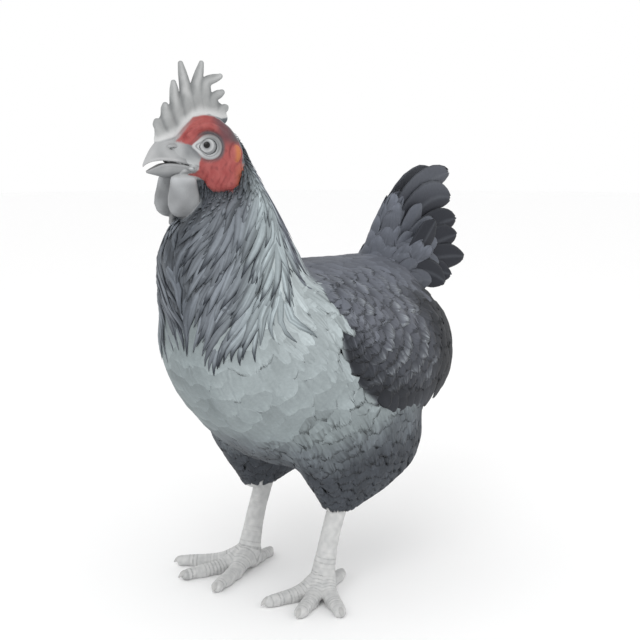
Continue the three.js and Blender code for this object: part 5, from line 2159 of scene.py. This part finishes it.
def add_tail(rng):
    """The long feathers of both halves, the broad ones over their roots, and the base between."""
    coat = Coat("coat_tail", "tail_feathers")
    names = []
    for side in SIDES:
        for name, x_root, x_tip, bend, tip, half in TAIL_FEATHERS:
            middle = (x_root + x_tip) / 2
            points = tail_vane((x_root, *TAIL_ROOT), (middle, *bend), (x_tip, *tip), half, rng) * (side, 1, 1)
            roots = np.array([(x_root * side, *TAIL_ROOT)])
            coat.add(points[None], TAIL_VANE, shade_tail(points[None], rng), roots)
            names.append(f"tail_{name}_{SIDES[side]}")
        for x, tip, way, length, half in BASE_COVERTS:
            tip = np.array((x + 1.5, *tip)) + rng.normal(0, 1.2, 3) * (0.3, 1, 1)
            way = np.array((0.0, *way)) / np.linalg.norm(way)
            root = tip - way * length - (7.0, 0, 0)
            bend = (root + tip) / 2 + (3.0, -2.0, 2.5)
            points = tail_vane(root, bend, tip, half, rng) * (side, 1, 1)
            roots = np.array([root * (side, 1, 1)])
            coat.add(points[None], TAIL_VANE, shade_tail(points[None], rng, 0.9), roots)
    add_tail_base(coat, rng)
    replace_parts(coat.build(), *names)


def shade_tail(points, rng, pale=0.0):
    """Slate vanes, darker below and where they are covered, with a paler shaft and rim."""
    across, along = np.abs(vane_uv(TAIL_VANE)).T
    tone = np.broadcast_to(mix(TAIL, BACK, pale), points.shape)
    return layered(
        varied(tone, rng, 0.05),
        (TAIL_SHADE, smoothstep(348, 312, points[..., 2]) * (1 - pale)),
        (TAIL_EDGE, (0.35 * smoothstep(0.12, 0.02, across) + 0.3 * smoothstep(0.8, 1.0, across))[None]),
        (TAIL_SHADE, 0.8 * (1 - 0.7 * pale) * smoothstep(0.5, 0.15, along)[None]),
    )


# ---------------------------------------------------------------- build
SKIN_PAIRS = ("wing", "flight", "thigh", "shank", "toes", "wattle", "ear_lobe")


def add_skin(coat):
    """One closed skin: the body below its coat, joined to the head and the feet."""
    under = Grid(BODY_LOW, BODY_HIGH, BODY_STEP)
    _, axes = under.window(BODY_LOW, BODY_HIGH)
    under.d = (coat.d + coat_depth(axes)).astype(np.float32)
    points, faces = under.mesh()
    skin = new_object("skin", points, outward(points, faces))
    for points, faces in (head_mesh(), foot_mesh(FEET["l"]), foot_mesh(FEET["r"])):
        unite(skin, new_object("part", points, faces))
    skin.data.polygons.foreach_set("use_smooth", np.ones(len(skin.data.polygons), bool))
    paint(skin, "tint", skin_colour(vertices_of(skin.data)))
    skin.data.materials.clear()
    skin.data.materials.append(skin_material())
    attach(skin, "root")
    sides = [f"{name}_{side}" for name in SKIN_PAIRS for side in "lr"]
    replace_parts(skin, "trunk", "rump", "neck", "head", "comb", *sides)


def add_bill():
    """The bill's two halves."""
    for name, rows in (("bill_upper", BILL_UPPER), ("bill_lower", BILL_LOWER)):
        points, faces = bill_mesh(rows, name == "bill_upper")
        piece = new_object(f"{name}_horn", points, faces)
        paint(piece, "tint", bill_colour(points, rows, name == "bill_upper"))
        piece.data.materials.append(horn_material(name, 0.45))
        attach(piece, "root")
        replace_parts(piece, name)


add_camera()
add_light()
add_floor()
whole = body_grid(FLESH + WINGS)
add_skin(whole)
add_bill()
for side in SIDES:
    add_eye(side)
for foot_side in FEET:
    add_claws(foot_side)
chance = np.random.default_rng(SEED)
add_body_coat(whole, chance)
add_parting(whole, chance)
for side in SIDES:
    add_wing(whole, side, chance)
add_tail(chance)
